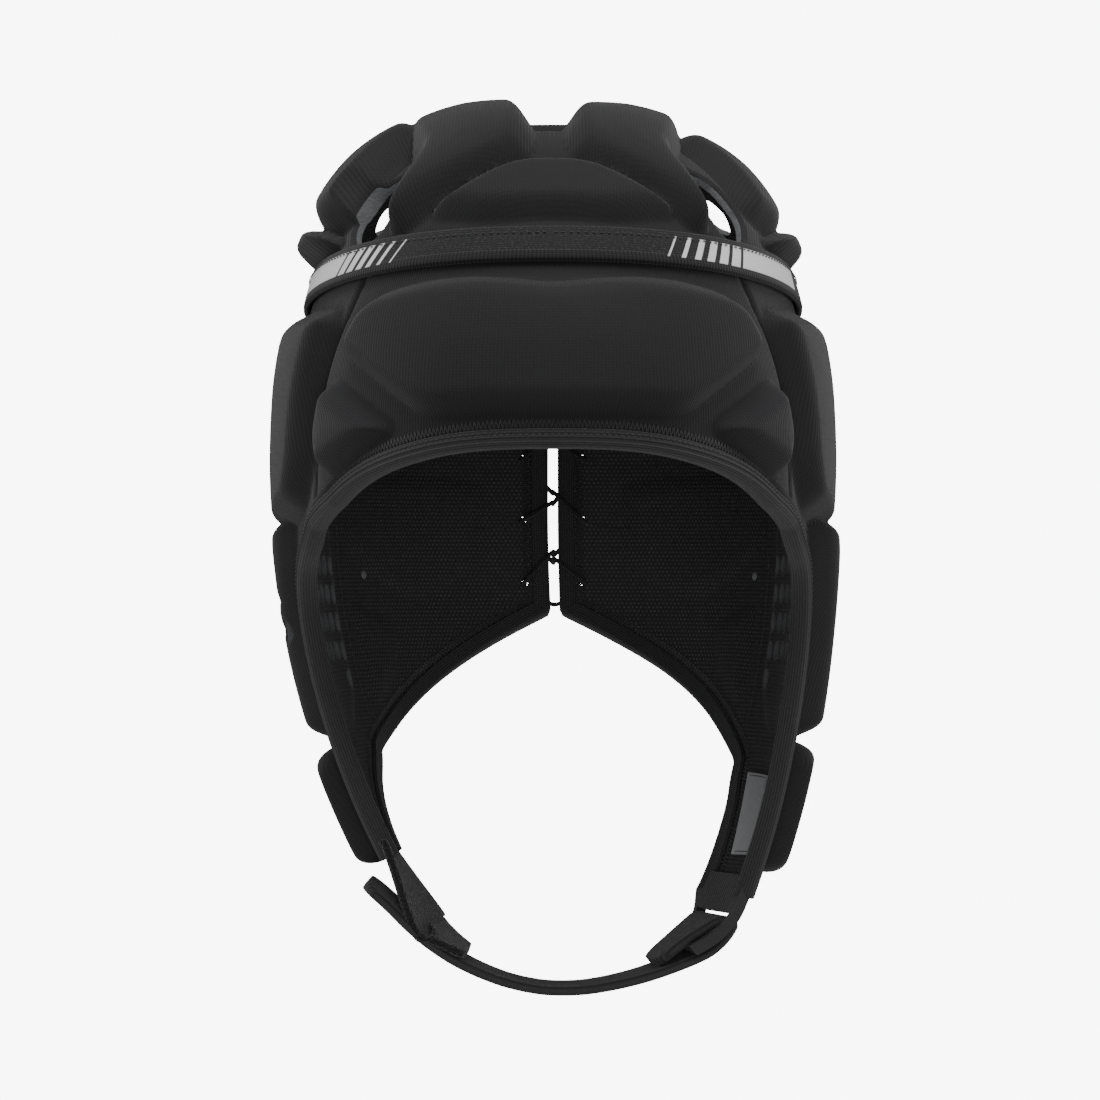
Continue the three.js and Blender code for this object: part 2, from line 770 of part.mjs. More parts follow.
// The face edge from the left flap's tip, over the brow, to the right flap's tip.
function faceEdge() {
  const cheek = (side) => sideRows(side).slice(seamRows).map(({ front }) => [
    side * (front[0] + gapAngle / 2),
    front[1],
  ]);
  const brow = Array.from({ length: foreheadAcross + 1 }, (_, i) => foreheadPlace(
    i / foreheadAcross,
    1,
  ));
  return [...cheek(-1).reverse(), ...brow, ...cheek(1)];
}

// The rear edge of one side: down the split, along the nape and down the back of the flap.
function napeEdge(side) {
  const place = backPlace(side);
  const inner = side < 0 ? 0 : 1;
  const bandFoot = bandLevel(180) + (bandWidth / 2 + 1) / levelLength(180, bandLevel(180));
  const split = [];
  for (let j = 0; j <= backDown; j += 1) {
    const [azimuth, level] = place(inner, j / backDown);
    if (level > bandFoot) split.push([azimuth, level]);
  }
  const nape = [];
  for (let i = 1; i < backAcross; i += 1) {
    const share = i / backAcross;
    nape.push(place(side < 0 ? share : 1 - share, 1));
  }
  const flap = flapRows[side < 0 ? 'left' : 'right'].map(({ rear }) => [
    side * (rear[0] - gapAngle / 2),
    rear[1],
  ]);
  const edge = [[split[0][0], bandFoot], ...split, ...nape, ...flap];
  return side < 0 ? edge : edge.reverse();
}

// Lace: one cord through the eyelets. It lies inside from an eyelet up to a crossing in the
// split, and outside from there to the next eyelet of the other side.
const laceInside = -(tapeFit + tape + laceClearance + laceDiameter / 2);
const laceOutside = wall - laceInside;
const splitGuide = splitGap / 2 - laceDiameter / 2 - laceClearance;
const crossingShare = 0.42;
const laceEndLevel = 0.69;
const laceEndAside = 8;
const laceStagger = 1.2;
const laceLoopShare = 0.75;
const laceSteps = 64;

function laceHalf(side) {
  const at = (aside, level, rise) => headPoint(
    180 - toDegrees(Math.asin(aside / rearReach)),
    level,
    rise,
  );
  const rows = [...laceRows].reverse();
  const points = [];
  rows.forEach(({ level, aside }, k) => {
    const hand = k % 2 === 0 ? side : -side;
    points.push(at(hand * aside, level, laceOutside));
    points.push(at(hand * aside, level, laceInside));
    const above = k + 1 < rows.length ? rows[k + 1].level : laceEndLevel;
    if (k + 1 < rows.length) {
      const cross = lerp(level, above, crossingShare) + side * laceStagger / skirtDrop;
      points.push(at(hand * splitGuide, cross, laceInside));
      points.push(at(-hand * splitGuide, cross, laceOutside));
    } else {
      points.push(at(hand * laceEndAside, above, laceInside));
    }
  });
  return points;
}

function laceGeometry() {
  const lowest = laceRows[laceRows.length - 1].level;
  const loop = headPoint(180, lerp(lowest, napeLine.left.at(-1)[1], laceLoopShare), laceOutside);
  const route = new THREE.CatmullRomCurve3(
    [...laceHalf(-1).reverse(), loop, ...laceHalf(1)],
    false,
    'centripetal',
  );
  const section = new THREE.Shape();
  section.absarc(0, 0, laceDiameter / 2, 0, 2 * Math.PI);
  return new THREE.ExtrudeGeometry(section, {
    steps: laceSteps,
    curveSegments: 3,
    bevelEnabled: false,
    extrudePath: route,
  });
}

// A flat strap through stations that each have a middle and the direction of its width.
function ribbonGeometry(stations, width, thickness) {
  const points = [];
  stations.forEach(({ middle, across }, i) => {
    const before = stations[Math.max(i - 1, 0)].middle;
    const after = stations[Math.min(i + 1, stations.length - 1)].middle;
    const along = after.clone().sub(before).normalize();
    const normal = along.clone().cross(across).normalize();
    for (const [w, t] of [[-0.5, -0.5], [0.5, -0.5], [0.5, 0.5], [-0.5, 0.5]]) {
      points.push(middle.clone().addScaledVector(across, w * width).addScaledVector(normal, t * thickness));
    }
  });
  const triangles = [];
  for (let i = 0; i < stations.length - 1; i += 1) {
    for (let k = 0; k < 4; k += 1) {
      const next = (k + 1) % 4;
      const a = i * 4;
      triangles.push(a + k, a + next, a + 4 + k, a + next, a + 4 + next, a + 4 + k);
    }
  }
  const last = (stations.length - 1) * 4;
  triangles.push(0, 2, 1, 0, 3, 2, last, last + 1, last + 2, last, last + 2, last + 3);
  return geometryOf(points, triangles);
}

// The middle and width direction of a flap's lower end, half way through its wall.
function flapEnd(side) {
  const { front, rear } = flapRows[side < 0 ? 'left' : 'right'].at(-1);
  const ahead = headPoint(side * front[0], front[1], wall / 2);
  const behind = headPoint(side * rear[0], rear[1], wall / 2);
  return {
    middle: ahead.clone().lerp(behind, 0.5),
    across: behind.sub(ahead).normalize(),
  };
}

// A strap's route: from a share of its length to the middle and width direction there.
function routeOf(controls) {
  const path = new THREE.CatmullRomCurve3(controls.map(({ middle }) => middle), false, 'catmullrom', 0.5);
  const turns = new THREE.CatmullRomCurve3(controls.map(({ across }) => across), false, 'catmullrom', 0.5);
  return {
    length: path.getLength(),
    at: (share) => ({ middle: path.getPoint(share), across: turns.getPoint(share).normalize() }),
    // The side of the strap that faces the head.
    inward: (share) => turns.getPoint(share).cross(path.getTangent(share)).normalize(),
  };
}

const stationsOf = (route, count, from, to) => Array.from(
  { length: count },
  (_, i) => route.at(lerp(from, to, i / (count - 1))),
);

// A place between the chin point, the lowest of the strap, and a flap's end: shares of the
// way out and of the way up, and how far the width has turned from square across the head.
function strapControl(end, { out, up, turn }) {
  return {
    middle: new THREE.Vector3(
      lerp(chinShift, end.middle.x, out),
      lerp(0, end.middle.y, Math.min(1, out)),
      lerp(-crownHeight - chinDrop, end.middle.z, up),
    ),
    across: new THREE.Vector3(0, 1, 0).lerp(end.across, turn),
  };
}

// The anchor goes on from the right flap's end and turns in under the jaw.
const anchorRows = [
  { out: 0.96, up: 0.77, turn: 0.8 },
  { out: 0.88, up: 0.57, turn: 0.6 },
  { out: 0.77, up: 0.42, turn: 0.4 },
];
const slotShare = 0.4;

function belowFlap(end) {
  const middle = end.middle.clone();
  middle.z -= flapClearance;
  return { middle, across: end.across };
}

function anchorRoute() {
  const end = flapEnd(1);
  return routeOf([belowFlap(end), ...anchorRows.map((row) => strapControl(end, row))]);
}

function strapAnchor() {
  const route = anchorRoute();
  const plate = ribbonGeometry(stationsOf(route, 9, 0, 1), anchorWidth, anchorThickness);
  const half = slotLength / 2 / route.length;
  const slot = stationsOf(route, 3, slotShare - half, slotShare + half);
  return combine(plate, [], [ribbonGeometry(slot, strapWidth + 4 * seamGap, 3 * anchorThickness)]);
}

// The strap is doubled back through the anchor's slot, then runs under the chin to the left.
// Fold rows say how far along the anchor a point is, and on which side: 1 towards the head.
const strapFold = [
  { along: 1.0, side: 1.05 },
  { along: 0.75, side: 1.1 },
  { along: 0.5, side: 0.75 },
  { along: slotShare, side: 0 },
  { along: 0.42, side: -0.85 },
  { along: 0.68, side: -1.1 },
  { along: 1.0, side: -1.05 },
];
const foldTail = { out: 0.567, up: 0.27, turn: 0.3 };
const rightRun = [
  { out: 0.513, up: 0.13, turn: 0.25 },
  { out: 0.225, up: 0.02, turn: 0.1 },
];
const chinRow = { out: 0, up: 0, turn: 0 };
const leftRun = [
  { out: 0.178, up: 0.023, turn: 0.1 },
  { out: 0.366, up: 0.086, turn: 0.3 },
  { out: 0.572, up: 0.2, turn: 0.6 },
  { out: 0.74, up: 0.335, turn: 0.8 },
  { out: 0.87, up: 0.475, turn: 1 },
  { out: 1.005, up: 0.64, turn: 1 },
];
const strapTip = { out: 1.15, up: 0.8, turn: 1 };
const strapSteps = 48;

function strapRoute() {
  const right = flapEnd(1);
  const left = flapEnd(-1);
  const anchor = anchorRoute();
  const offset = (anchorThickness + strapThickness) / 2 + seamGap;
  const fold = strapFold.map(({ along, side }) => {
    const { middle, across } = anchor.at(along);
    return { middle: middle.addScaledVector(anchor.inward(along), side * offset), across };
  });
  return routeOf([
    strapControl(right, foldTail),
    ...fold,
    ...rightRun.map((row) => strapControl(right, row)),
    strapControl(left, chinRow),
    ...leftRun.map((row) => strapControl(left, row)),
    strapControl(left, strapTip),
  ]);
}

function chinStrap() {
  return ribbonGeometry(stationsOf(strapRoute(), strapSteps, 0, 1), strapWidth, strapThickness);
}

// The tongue hangs from the left flap and lies inside the strap, which grips its pile.
const tongueShares = [0.865, 0.84, 0.815, 0.79, 0.765];

function pileTongue() {
  const strap = strapRoute();
  const offset = (tongueThickness + strapThickness) / 2 + tongueClearance;
  const controls = tongueShares.map((share) => {
    const { middle, across } = strap.at(share);
    return { middle: middle.addScaledVector(strap.inward(share), offset), across };
  });
  const route = routeOf([belowFlap(flapEnd(-1)), ...controls]);
  return ribbonGeometry(stationsOf(route, 14, 0, 1), tongueWidth, tongueThickness);
}

// Label: a bare patch inside the right flap.
const labelRows = {
  top: { front: [96, 1.86], rear: [113, 1.86] },
  bottom: { front: [89.5, 2.11], rear: [108, 2.12] },
};

function labelPatch() {
  const { top, bottom } = labelRows;
  const place = (across, down) => [0, 1].map((k) => lerp(
    lerp(top.front[k], top.rear[k], across),
    lerp(bottom.front[k], bottom.rear[k], across),
    down,
  ));
  return panelGeometry(place, 3, 4, -tapeFit - labelThickness, -tapeFit);
}

const nodes = [
  ['crown_panel', crownPanel(), materials.knit],
  ['forehead_panel', foreheadPanel(), materials.knit],
  ['side_panel_left', sidePanel(-1), materials.knit],
  ['side_panel_right', sidePanel(1), materials.knit],
  ['back_panel_left', backPanel(-1), materials.knit],
  ['back_panel_right', backPanel(1), materials.knit],
  ['jaw_pad_left', jawPad(jawPads.left), materials.knit],
  ['jaw_pad_right', jawPad(jawPads.right), materials.knit],
  ['head_band', bandGeometry(), materials.band],
  ['face_binding', tapeGeometry(faceEdge()), materials.tape],
  ['nape_binding_left', tapeGeometry(napeEdge(-1)), materials.tape],
  ['nape_binding_right', tapeGeometry(napeEdge(1)), materials.tape],
  ['back_lace', laceGeometry(), materials.lace],
  ['strap_anchor', strapAnchor(), materials.strap],
  ['chin_strap', chinStrap(), materials.strap],
  ['pile_tongue', pileTongue(), materials.pile],
  ['label_patch', labelPatch(), materials.label],
];

const cap = new THREE.Group();
for (const [name, geometry, material] of nodes) {
  const mesh = new THREE.Mesh(geometry, material);
  mesh.name = name;
  cap.add(mesh);
}

export default cap;
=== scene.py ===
import math

import bmesh
import bpy
import numpy as np
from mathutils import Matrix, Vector


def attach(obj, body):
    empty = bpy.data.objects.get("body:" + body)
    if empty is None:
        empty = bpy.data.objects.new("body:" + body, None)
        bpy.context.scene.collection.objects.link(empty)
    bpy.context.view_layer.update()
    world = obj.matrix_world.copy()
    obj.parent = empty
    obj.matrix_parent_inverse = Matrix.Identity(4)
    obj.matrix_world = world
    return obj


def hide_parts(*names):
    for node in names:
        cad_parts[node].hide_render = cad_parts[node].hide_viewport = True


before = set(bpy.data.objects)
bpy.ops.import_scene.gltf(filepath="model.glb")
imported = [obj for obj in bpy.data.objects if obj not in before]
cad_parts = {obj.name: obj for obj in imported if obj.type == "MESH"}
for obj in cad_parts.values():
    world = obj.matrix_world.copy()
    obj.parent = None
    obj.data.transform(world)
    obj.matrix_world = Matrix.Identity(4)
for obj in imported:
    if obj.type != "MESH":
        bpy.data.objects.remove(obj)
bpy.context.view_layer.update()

MM = 0.001
ROOT = "root"

# Camera: level, square to the face, at the distance that gives the photograph's framing
CAMERA_AT = (-0.00095, -1.5, -0.129)
FIELD = 0.3492
SENSOR = 36

# Head space, as in the solids
HALF_BREADTH = 78 * MM
FRONT_REACH = 107 * MM
REAR_REACH = 92 * MM
CROWN_HEIGHT = 115 * MM
SKIRT_DROP = 100 * MM
PLAN_POWER = 2.25
SIDE_POWER = 2.9
FRONT_POWER = 2.45
JAW_TUCK = 0.224
NAPE_TUCK_LEFT = 0.15
NAPE_TUCK_RIGHT = 0.35
TUCK_POWER = 2.1
SWAY = 5.4 * MM
SWAY_POWER = 1.8

# Wall, pads and seams
WALL = 3 * MM
PAD_RISE = 8 * MM
EAR_PAD_RISE = {-1: 8 * MM, 1: 9.6 * MM}
JAW_PAD_RISE = 9 * MM
BEVEL = 6.8 * MM
PAD_SPREAD = 1.4 * MM
SHOULDER = 0.38
LINING_SINK = 1.3 * MM
PAD_CORNER = 7 * MM
SEAM_GAP = 0.3 * MM
JAW_PAD_CLEARANCE = 0.8 * MM
FLAP_LAP = 6 * MM
LAP_PROUD = 0.25 * MM
STRAP_TILT = 0.08
TONGUE_TILT = 0.34

# Band, tape, lace and strap
BAND_WIDTH = 12 * MM
BAND_THICKNESS = 2.2 * MM
BAND_CLEARANCE = 0.5 * MM
BAND_FRONT_HEIGHT = -0.333 * CROWN_HEIGHT
BAND_FALL = 0.106
TAPE = 1 * MM
TAPE_FIT = 0.5 * MM
TAPE_LEG = 4.5 * MM
SPLIT_GAP = 3 * MM
LACE_DIAMETER = 1.5 * MM
EYELET_RADIUS = 1.2 * MM
LACE_CLEARANCE = 0.4 * MM
EAR_HOLE_RADIUS = 3.5 * MM
EAR_HOLE_PITCH = 9.2 * MM
TIE_HOLE_RADIUS = 1.5 * MM
VENT_CORNER = 5 * MM
VENT_LIP = 2.5 * MM
STRAP_WIDTH = 25 * MM
STRAP_THICKNESS = 3 * MM
ANCHOR_WIDTH = 31 * MM
ANCHOR_THICKNESS = 3 * MM
SLOT_LENGTH = 5.5 * MM
TONGUE_WIDTH = 26 * MM
TONGUE_THICKNESS = 3 * MM
TONGUE_CLEARANCE = 0.5 * MM
CHIN_DROP = 153 * MM
CHIN_SHIFT = 1.5 * MM
LABEL_THICKNESS = 0.6 * MM

GAP_ANGLE = math.degrees(SEAM_GAP / HALF_BREADTH)
GAP_LEVEL = SEAM_GAP / (CROWN_HEIGHT * math.pi / 2)
WRAP_RADIUS = 90 * MM


def camera():
    """Level and square to the face, with the lens that shows the field at its distance."""
    eye = bpy.data.objects.new("camera", bpy.data.cameras.new("camera"))
    bpy.context.scene.collection.objects.link(eye)
    eye.location = CAMERA_AT
    eye.rotation_euler = (math.pi / 2, 0, 0)
    eye.data.sensor_width = SENSOR
    eye.data.lens = SENSOR * -CAMERA_AT[1] / FIELD
    bpy.context.scene.camera = eye


camera()


# The head surface

def mix(low, high, share):
    return low + (high - low) * share


def unit(vectors):
    """Each vector over its own length."""
    return vectors / np.linalg.norm(vectors, axis=-1, keepdims=True)


def lining(azimuth, level):
    """A superellipse in plan under a domed crown. Below the widest level the plan shrinks with
    a power of the drop, more at the nape, and drifts sideways with another power of it."""
    angle = np.radians(azimuth)
    side = np.sin(angle)
    ahead = np.cos(angle)
    reach = np.where(ahead > 0, FRONT_REACH, REAR_REACH)
    plan = (np.abs(side) / HALF_BREADTH) ** PLAN_POWER + (np.abs(ahead) / reach) ** PLAN_POWER
    plan = plan ** (-1 / PLAN_POWER)
    tilt = np.clip(level, 0, 1) * np.pi / 2
    power = mix(SIDE_POWER, FRONT_POWER, ahead ** 2)
    radius = (np.sin(tilt) / plan) ** power + (np.cos(tilt) / CROWN_HEIGHT) ** power
    radius = radius ** (-1 / power)
    drop = np.clip(level - 1, 0, None)
    nape = mix(NAPE_TUCK_LEFT, NAPE_TUCK_RIGHT, (1 + side) / 2) * np.clip(-ahead, 0, None) ** 2
    skirt = plan * (1 - (JAW_TUCK + nape) * drop ** TUCK_POWER)
    across = np.where(level <= 1, radius * np.sin(tilt), skirt)
    height = np.where(level <= 1, radius * np.cos(tilt), 0) - CROWN_HEIGHT - drop * SKIRT_DROP
    return np.stack([across * side + SWAY * drop ** SWAY_POWER, -across * ahead, height], -1)


def outward(azimuth, level):
    """The surface's normal: the step down the head crossed with the step round it."""
    step = 1e-3
    safe = np.maximum(level, 2 * step)
    along = lining(azimuth + step, safe) - lining(azimuth - step, safe)
    down = lining(azimuth, safe + step) - lining(azimuth, safe - step)
    return unit(np.cross(down, along))


def head(azimuth, level, rise):
    """A point that stands off the lining by rise along the normal."""
    return lining(azimuth, level) + outward(azimuth, level) * np.asarray(rise)[..., None]


def locate(point):
    """The azimuth and level of the lining under a point near it."""
    x, y, z = np.moveaxis(point, -1, 0)
    drop = np.clip((-CROWN_HEIGHT - z) / SKIRT_DROP, 0, None)
    dome = np.arctan2(np.hypot(x, y), z + CROWN_HEIGHT) / (np.pi / 2)
    level = np.where(z > -CROWN_HEIGHT, dome, 1 + drop)
    return np.degrees(np.arctan2(x - SWAY * drop ** SWAY_POWER, -y)), level


def lift(point, rise):
    return head(*locate(point), rise)


def band_level(azimuth):
    """The level where a plane that falls towards the back cuts the lining, by halving."""
    low = np.full(np.shape(azimuth), 0.2)
    high = np.full(np.shape(azimuth), 0.95)
    for _ in range(26):
        middle = (low + high) / 2
        point = lining(azimuth, middle)
        above = point[..., 2] > BAND_FRONT_HEIGHT - BAND_FALL * (point[..., 1] + FRONT_REACH)
        low = np.where(above, middle, low)
        high = np.where(above, high, middle)
    return (low + high) / 2


def level_length(azimuth, level):
    step = 1e-3
    return np.linalg.norm(lining(azimuth, level + step) - lining(azimuth, level), axis=-1) / step


# Smooth lookups and routes

def bend(rows, key, even=False):
    """A smooth curve through a table of [key, value]: cubic pieces with the slopes of its
    neighbours. An even table is mirrored at its first key."""
    knots, values = np.array(rows, float).T
    if even:
        knots = np.concatenate([[2 * knots[0] - knots[1]], knots])
        values = np.concatenate([[values[1]], values])
    slopes = np.gradient(values, knots)
    key = np.clip(key, knots[0], knots[-1])
    i = np.clip(np.searchsorted(knots, key, side="right") - 1, 0, len(knots) - 2)
    span = knots[i + 1] - knots[i]
    t = (key - knots[i]) / span
    rise = values[i] * (1 + 2 * t) * (1 - t) ** 2 + values[i + 1] * t ** 2 * (3 - 2 * t)
    return rise + span * (slopes[i] * t * (1 - t) ** 2 - slopes[i + 1] * t ** 2 * (1 - t))


def through(points, share, centripetal=False):
    """A smooth curve through points: each piece is a cubic whose end slopes come from the
    points on either side, spaced evenly or by the root of their distances."""
    points = np.asarray(points, float)
    first = 2 * points[0] - points[1]
    last = 2 * points[-1] - points[-2]
    p = np.concatenate([[first], points, [last]])
    place = np.clip(share, 0, 1) * (len(points) - 1)
    i = np.minimum(place.astype(int), len(points) - 2)
    t = (place - i)[:, None]
    p0, p1, p2, p3 = (p[i + k] for k in range(4))
    if centripetal:
        d0, d1, d2 = (np.sqrt(np.linalg.norm(b - a, axis=1, keepdims=True)) + 1e-9
                      for a, b in ((p0, p1), (p1, p2), (p2, p3)))
        m1 = ((p1 - p0) / d0 - (p2 - p0) / (d0 + d1) + (p2 - p1) / d1) * d1
        m2 = ((p2 - p1) / d1 - (p3 - p1) / (d1 + d2) + (p3 - p2) / d2) * d1
    else:
        m1 = (p2 - p0) / 2
        m2 = (p3 - p1) / 2
    blend = p1 * (1 + 2 * t) * (1 - t) ** 2 + p2 * t ** 2 * (3 - 2 * t)
    return blend + m1 * t * (1 - t) ** 2 - m2 * t ** 2 * (1 - t)


def travelled(points):
    """The distance along a line of points, from its first."""
    steps = np.linalg.norm(np.diff(points, axis=0), axis=1)
    return np.concatenate([[0], np.cumsum(steps)])


def at_distances(values, run, places):
    """The values that belong to a line's points, read at given distances along it."""
    return np.stack([np.interp(places, run, values[:, k]) for k in range(3)], -1)


# Outlines and relief

def outline(corners, radius):
    """The closed line round a pad: chords between the corners, each corner rounded with a
    quadratic curve, and all of it dropped on to the lining."""
    azimuth, level = np.array(corners, float).T
    tips = lining(azimuth, level)
    before = np.roll(tips, 1, axis=0)
    after = np.roll(tips, -1, axis=0)
    back = np.linalg.norm(before - tips, axis=1, keepdims=True)
    forth = np.linalg.norm(after - tips, axis=1, keepdims=True)
    entry = mix(tips, before, np.minimum(radius / back, 0.4))
    leave = mix(tips, after, np.minimum(radius / forth, 0.4))
    t = np.linspace(0, 1, 7)[None, :, None]
    curve = entry[:, None] * (1 - t) ** 2 + 2 * tips[:, None] * t * (1 - t) + leave[:, None] * t ** 2
    s = np.linspace(0, 1, 12)[None, 1:-1, None]
    straight = mix(leave[:, None], np.roll(entry, -1, axis=0)[:, None], s)
    ring = np.concatenate([curve, straight], axis=1).reshape(-1, 3)
    return lining(*locate(ring))


def circle(azimuth, level, radius, count=24):
    """A ring of points round a place on the lining."""
    centre = lining(azimuth, level)
    normal = outward(azimuth, level)
    aside = unit(np.cross([0, 0, 1], normal))
    up = np.cross(normal, aside)
    turn = np.linspace(0, 2 * np.pi, count, endpoint=False)[:, None]
    return centre + radius * (aside * np.cos(turn) + up * np.sin(turn))


def nearest(points, ring):
    """The distance from each point to a closed line, and the closest place on it: the smallest
    over its segments."""
    best = np.full(len(points), np.inf)
    foot = np.zeros_like(points)
    for start, end in zip(ring, np.roll(ring, -1, axis=0)):
        run = end - start
        t = np.clip((points - start) @ run / (run @ run), 0, 1)[:, None]
        place = start + t * run
        far = np.linalg.norm(points - place, axis=1)
        closer = far < best
        best = np.where(closer, far, best)
        foot = np.where(closer[:, None], place, foot)
    return best, foot


def inside(points, ring):
    """Whether each point is within a closed line, both seen along the normal at its middle:
    an odd number of sides lies beyond it."""
    middle = ring.mean(axis=0)
    normal = outward(*locate(middle))
    aside = unit(np.cross(normal, [0.3, 0.5, 0.8]))
    up = np.cross(normal, aside)
    px, py = (points - middle) @ aside, (points - middle) @ up
    rx, ry = (ring - middle) @ aside, (ring - middle) @ up
    odd = np.zeros(len(points), bool)
    for x0, y0, x1, y1 in zip(rx, ry, np.roll(rx, -1), np.roll(ry, -1)):
        if y0 != y1:
            cross = (y0 > py) != (y1 > py)
            odd ^= cross & (px < (x1 - x0) * (py - y0) / (y1 - y0) + x0)
    return odd


def depth_in(points, ring):
    """How far inside a closed line each point is, below zero outside it."""
    far, _ = nearest(points, ring)
    return np.where(inside(points, ring), far, -far)


def pad_profile(depth, rise, bevel):
    """A pad's height over its edge distance: a straight sloping side, a round shoulder where
    the slope meets the top, and a faint crown."""
    slope = np.clip((depth + PAD_SPREAD) / bevel, 0, None) * 1.1
    meeting = np.clip(SHOULDER - np.abs(slope - 1), 0, None) ** 2 / (4 * SHOULDER)
    side = np.clip(np.minimum(slope, 1) - meeting, 0, None)
    crown = 0.9 * MM * (1 - np.exp(-np.clip(depth - bevel, 0, None) / (12 * MM)))
    return rise * side + crown


# Meshes

def make_mesh(name, vertices, faces, weave=None, finish_of=None, finishes=(), sharp=50):
    """One object from arrays: vertices, faces of one length or several, a UV for each vertex
    and a finish for each face. Faces that enclose less than nothing are turned to point out."""
    mesh = bpy.data.meshes.new(name)
    face_list = faces if isinstance(faces, list) else faces.tolist()
    mesh.from_pydata(np.asarray(vertices).tolist(), [], face_list)
    solid = bmesh.new()
    solid.from_mesh(mesh)
    if solid.calc_volume(signed=True) < 0:
        mesh.flip_normals()
    solid.free()
    mesh.polygons.foreach_set("use_smooth", np.ones(len(mesh.polygons), bool))
    if weave is not None:
        layer = mesh.uv_layers.new(name="weave")
        corner = np.zeros(len(mesh.loops), int)
        mesh.loops.foreach_get("vertex_index", corner)
        layer.data.foreach_set("uv", np.asarray(weave, np.float32)[corner].ravel())
    for finish in finishes:
        mesh.materials.append(finish)
    if finish_of is not None:
        mesh.polygons.foreach_set("material_index", np.asarray(finish_of, np.int32))
    mesh.set_sharp_from_angle(angle=math.radians(sharp))
    mesh.update()
    piece = bpy.data.objects.new(name, mesh)
    bpy.context.scene.collection.objects.link(piece)
    return piece


def shell(name, outer, inner, keep, weave, finishes, sharp=50):
    """A solid between two grids of points: the kept cells of both, and a wall along every
    edge that only one kept cell has."""
    rows, columns = outer.shape[:2]
    count = rows * columns
    index = np.arange(count).reshape(rows, columns)
    cells = np.stack([index[:-1, :-1], index[1:, :-1], index[1:, 1:], index[:-1, 1:]], -1)[keep]
    edges = np.concatenate([cells[:, [k, (k + 1) % 4]] for k in range(4)])
    bare = ~np.isin(edges[:, 0] * count + edges[:, 1], edges[:, 1] * count + edges[:, 0])
    first, second = edges[bare].T
    walls = np.stack([second, first, first + count, second + count], -1)
    faces = np.concatenate([cells, cells[:, ::-1] + count, walls])
    finish_of = np.repeat([0, 1, 2], [len(cells), len(cells), len(walls)])
    vertices = np.concatenate([outer.reshape(-1, 3), inner.reshape(-1, 3)])
    used, packed = np.unique(faces, return_inverse=True)
    uv = np.tile(weave.reshape(-1, 2), (2, 1))[used]
    return make_mesh(name, vertices[used], packed.reshape(faces.shape), uv, finish_of, finishes, sharp)


def sleeve(name, rings, weave, finishes, looped=False, sharp=50):
    """A closed tube through rings of points: quads from each ring to the next, and a cap at
    each end unless it runs round into itself."""
    count, around = rings.shape[:2]
    ring = np.arange(count if looped else count - 1)[:, None]
    step = np.arange(around)[None, :]
    below = ((ring + 1) % count) * around
    here = ring * around
    turn = (step + 1) % around
    quads = np.stack([here + step, here + turn, below + turn, below + step], -1).reshape(-1, 4)
    faces = quads.tolist()
    if not looped:
        faces.append(list(range(around))[::-1])
        faces.append(list(range((count - 1) * around, count * around)))
    return make_mesh(name, rings.reshape(-1, 3), faces, weave.reshape(-1, 2), None, finishes, sharp)


def tape_section(width, thickness, steps=14, rounding=5):
    """A flat strap's section: two flat sides joined by half rounds."""
    r = thickness / 2
    flat = np.linspace(-(width / 2 - r), width / 2 - r, steps)
    turn = np.linspace(np.pi / 2, -np.pi / 2, rounding + 2)[1:-1]
    right = np.stack([width / 2 - r + r * np.cos(turn), r * np.sin(turn)], -1)
    top = np.stack([flat, np.full(steps, r)], -1)
    half = np.concatenate([top, right])
    return np.concatenate([half, -half])


def pieces_of(piece, slot, *nodes):
    """The piece rides on the cap and stands for solids, which are hidden. The slot is not used."""
    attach(piece, ROOT)
    if nodes:
        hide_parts(*nodes)
    return piece


# Shader maths

class Signal:
    """A shader socket whose sums, products and powers add Math nodes."""

    def __init__(self, finish, socket):
        self.finish = finish
        self.socket = socket

    def math(self, operation, *others):
        inputs = {0: self, **{k + 1: other for k, other in enumerate(others)}}
        return self.finish.node("ShaderNodeMath", {"operation": operation}, inputs)

    def __add__(self, other):
        return self.math("ADD", other)

    def __radd__(self, other):
        return self.math("ADD", other)

    def __sub__(self, other):
        return self.math("SUBTRACT", other)

    def __rsub__(self, other):
        return self.math("MULTIPLY", -1) + other

    def __mul__(self, other):
        return self.math("MULTIPLY", other)

    def __rmul__(self, other):
        return self.math("MULTIPLY", other)

    def __truediv__(self, other):
        return self.math("DIVIDE", other)

    def __gt__(self, other):
        return self.math("GREATER_THAN", other)

    def __lt__(self, other):
        return self.math("LESS_THAN", other)

    def sine(self):
        return self.math("SINE")

    def fraction(self):
        return self.math("FRACT")

    def size(self):
        return self.math("ABSOLUTE")


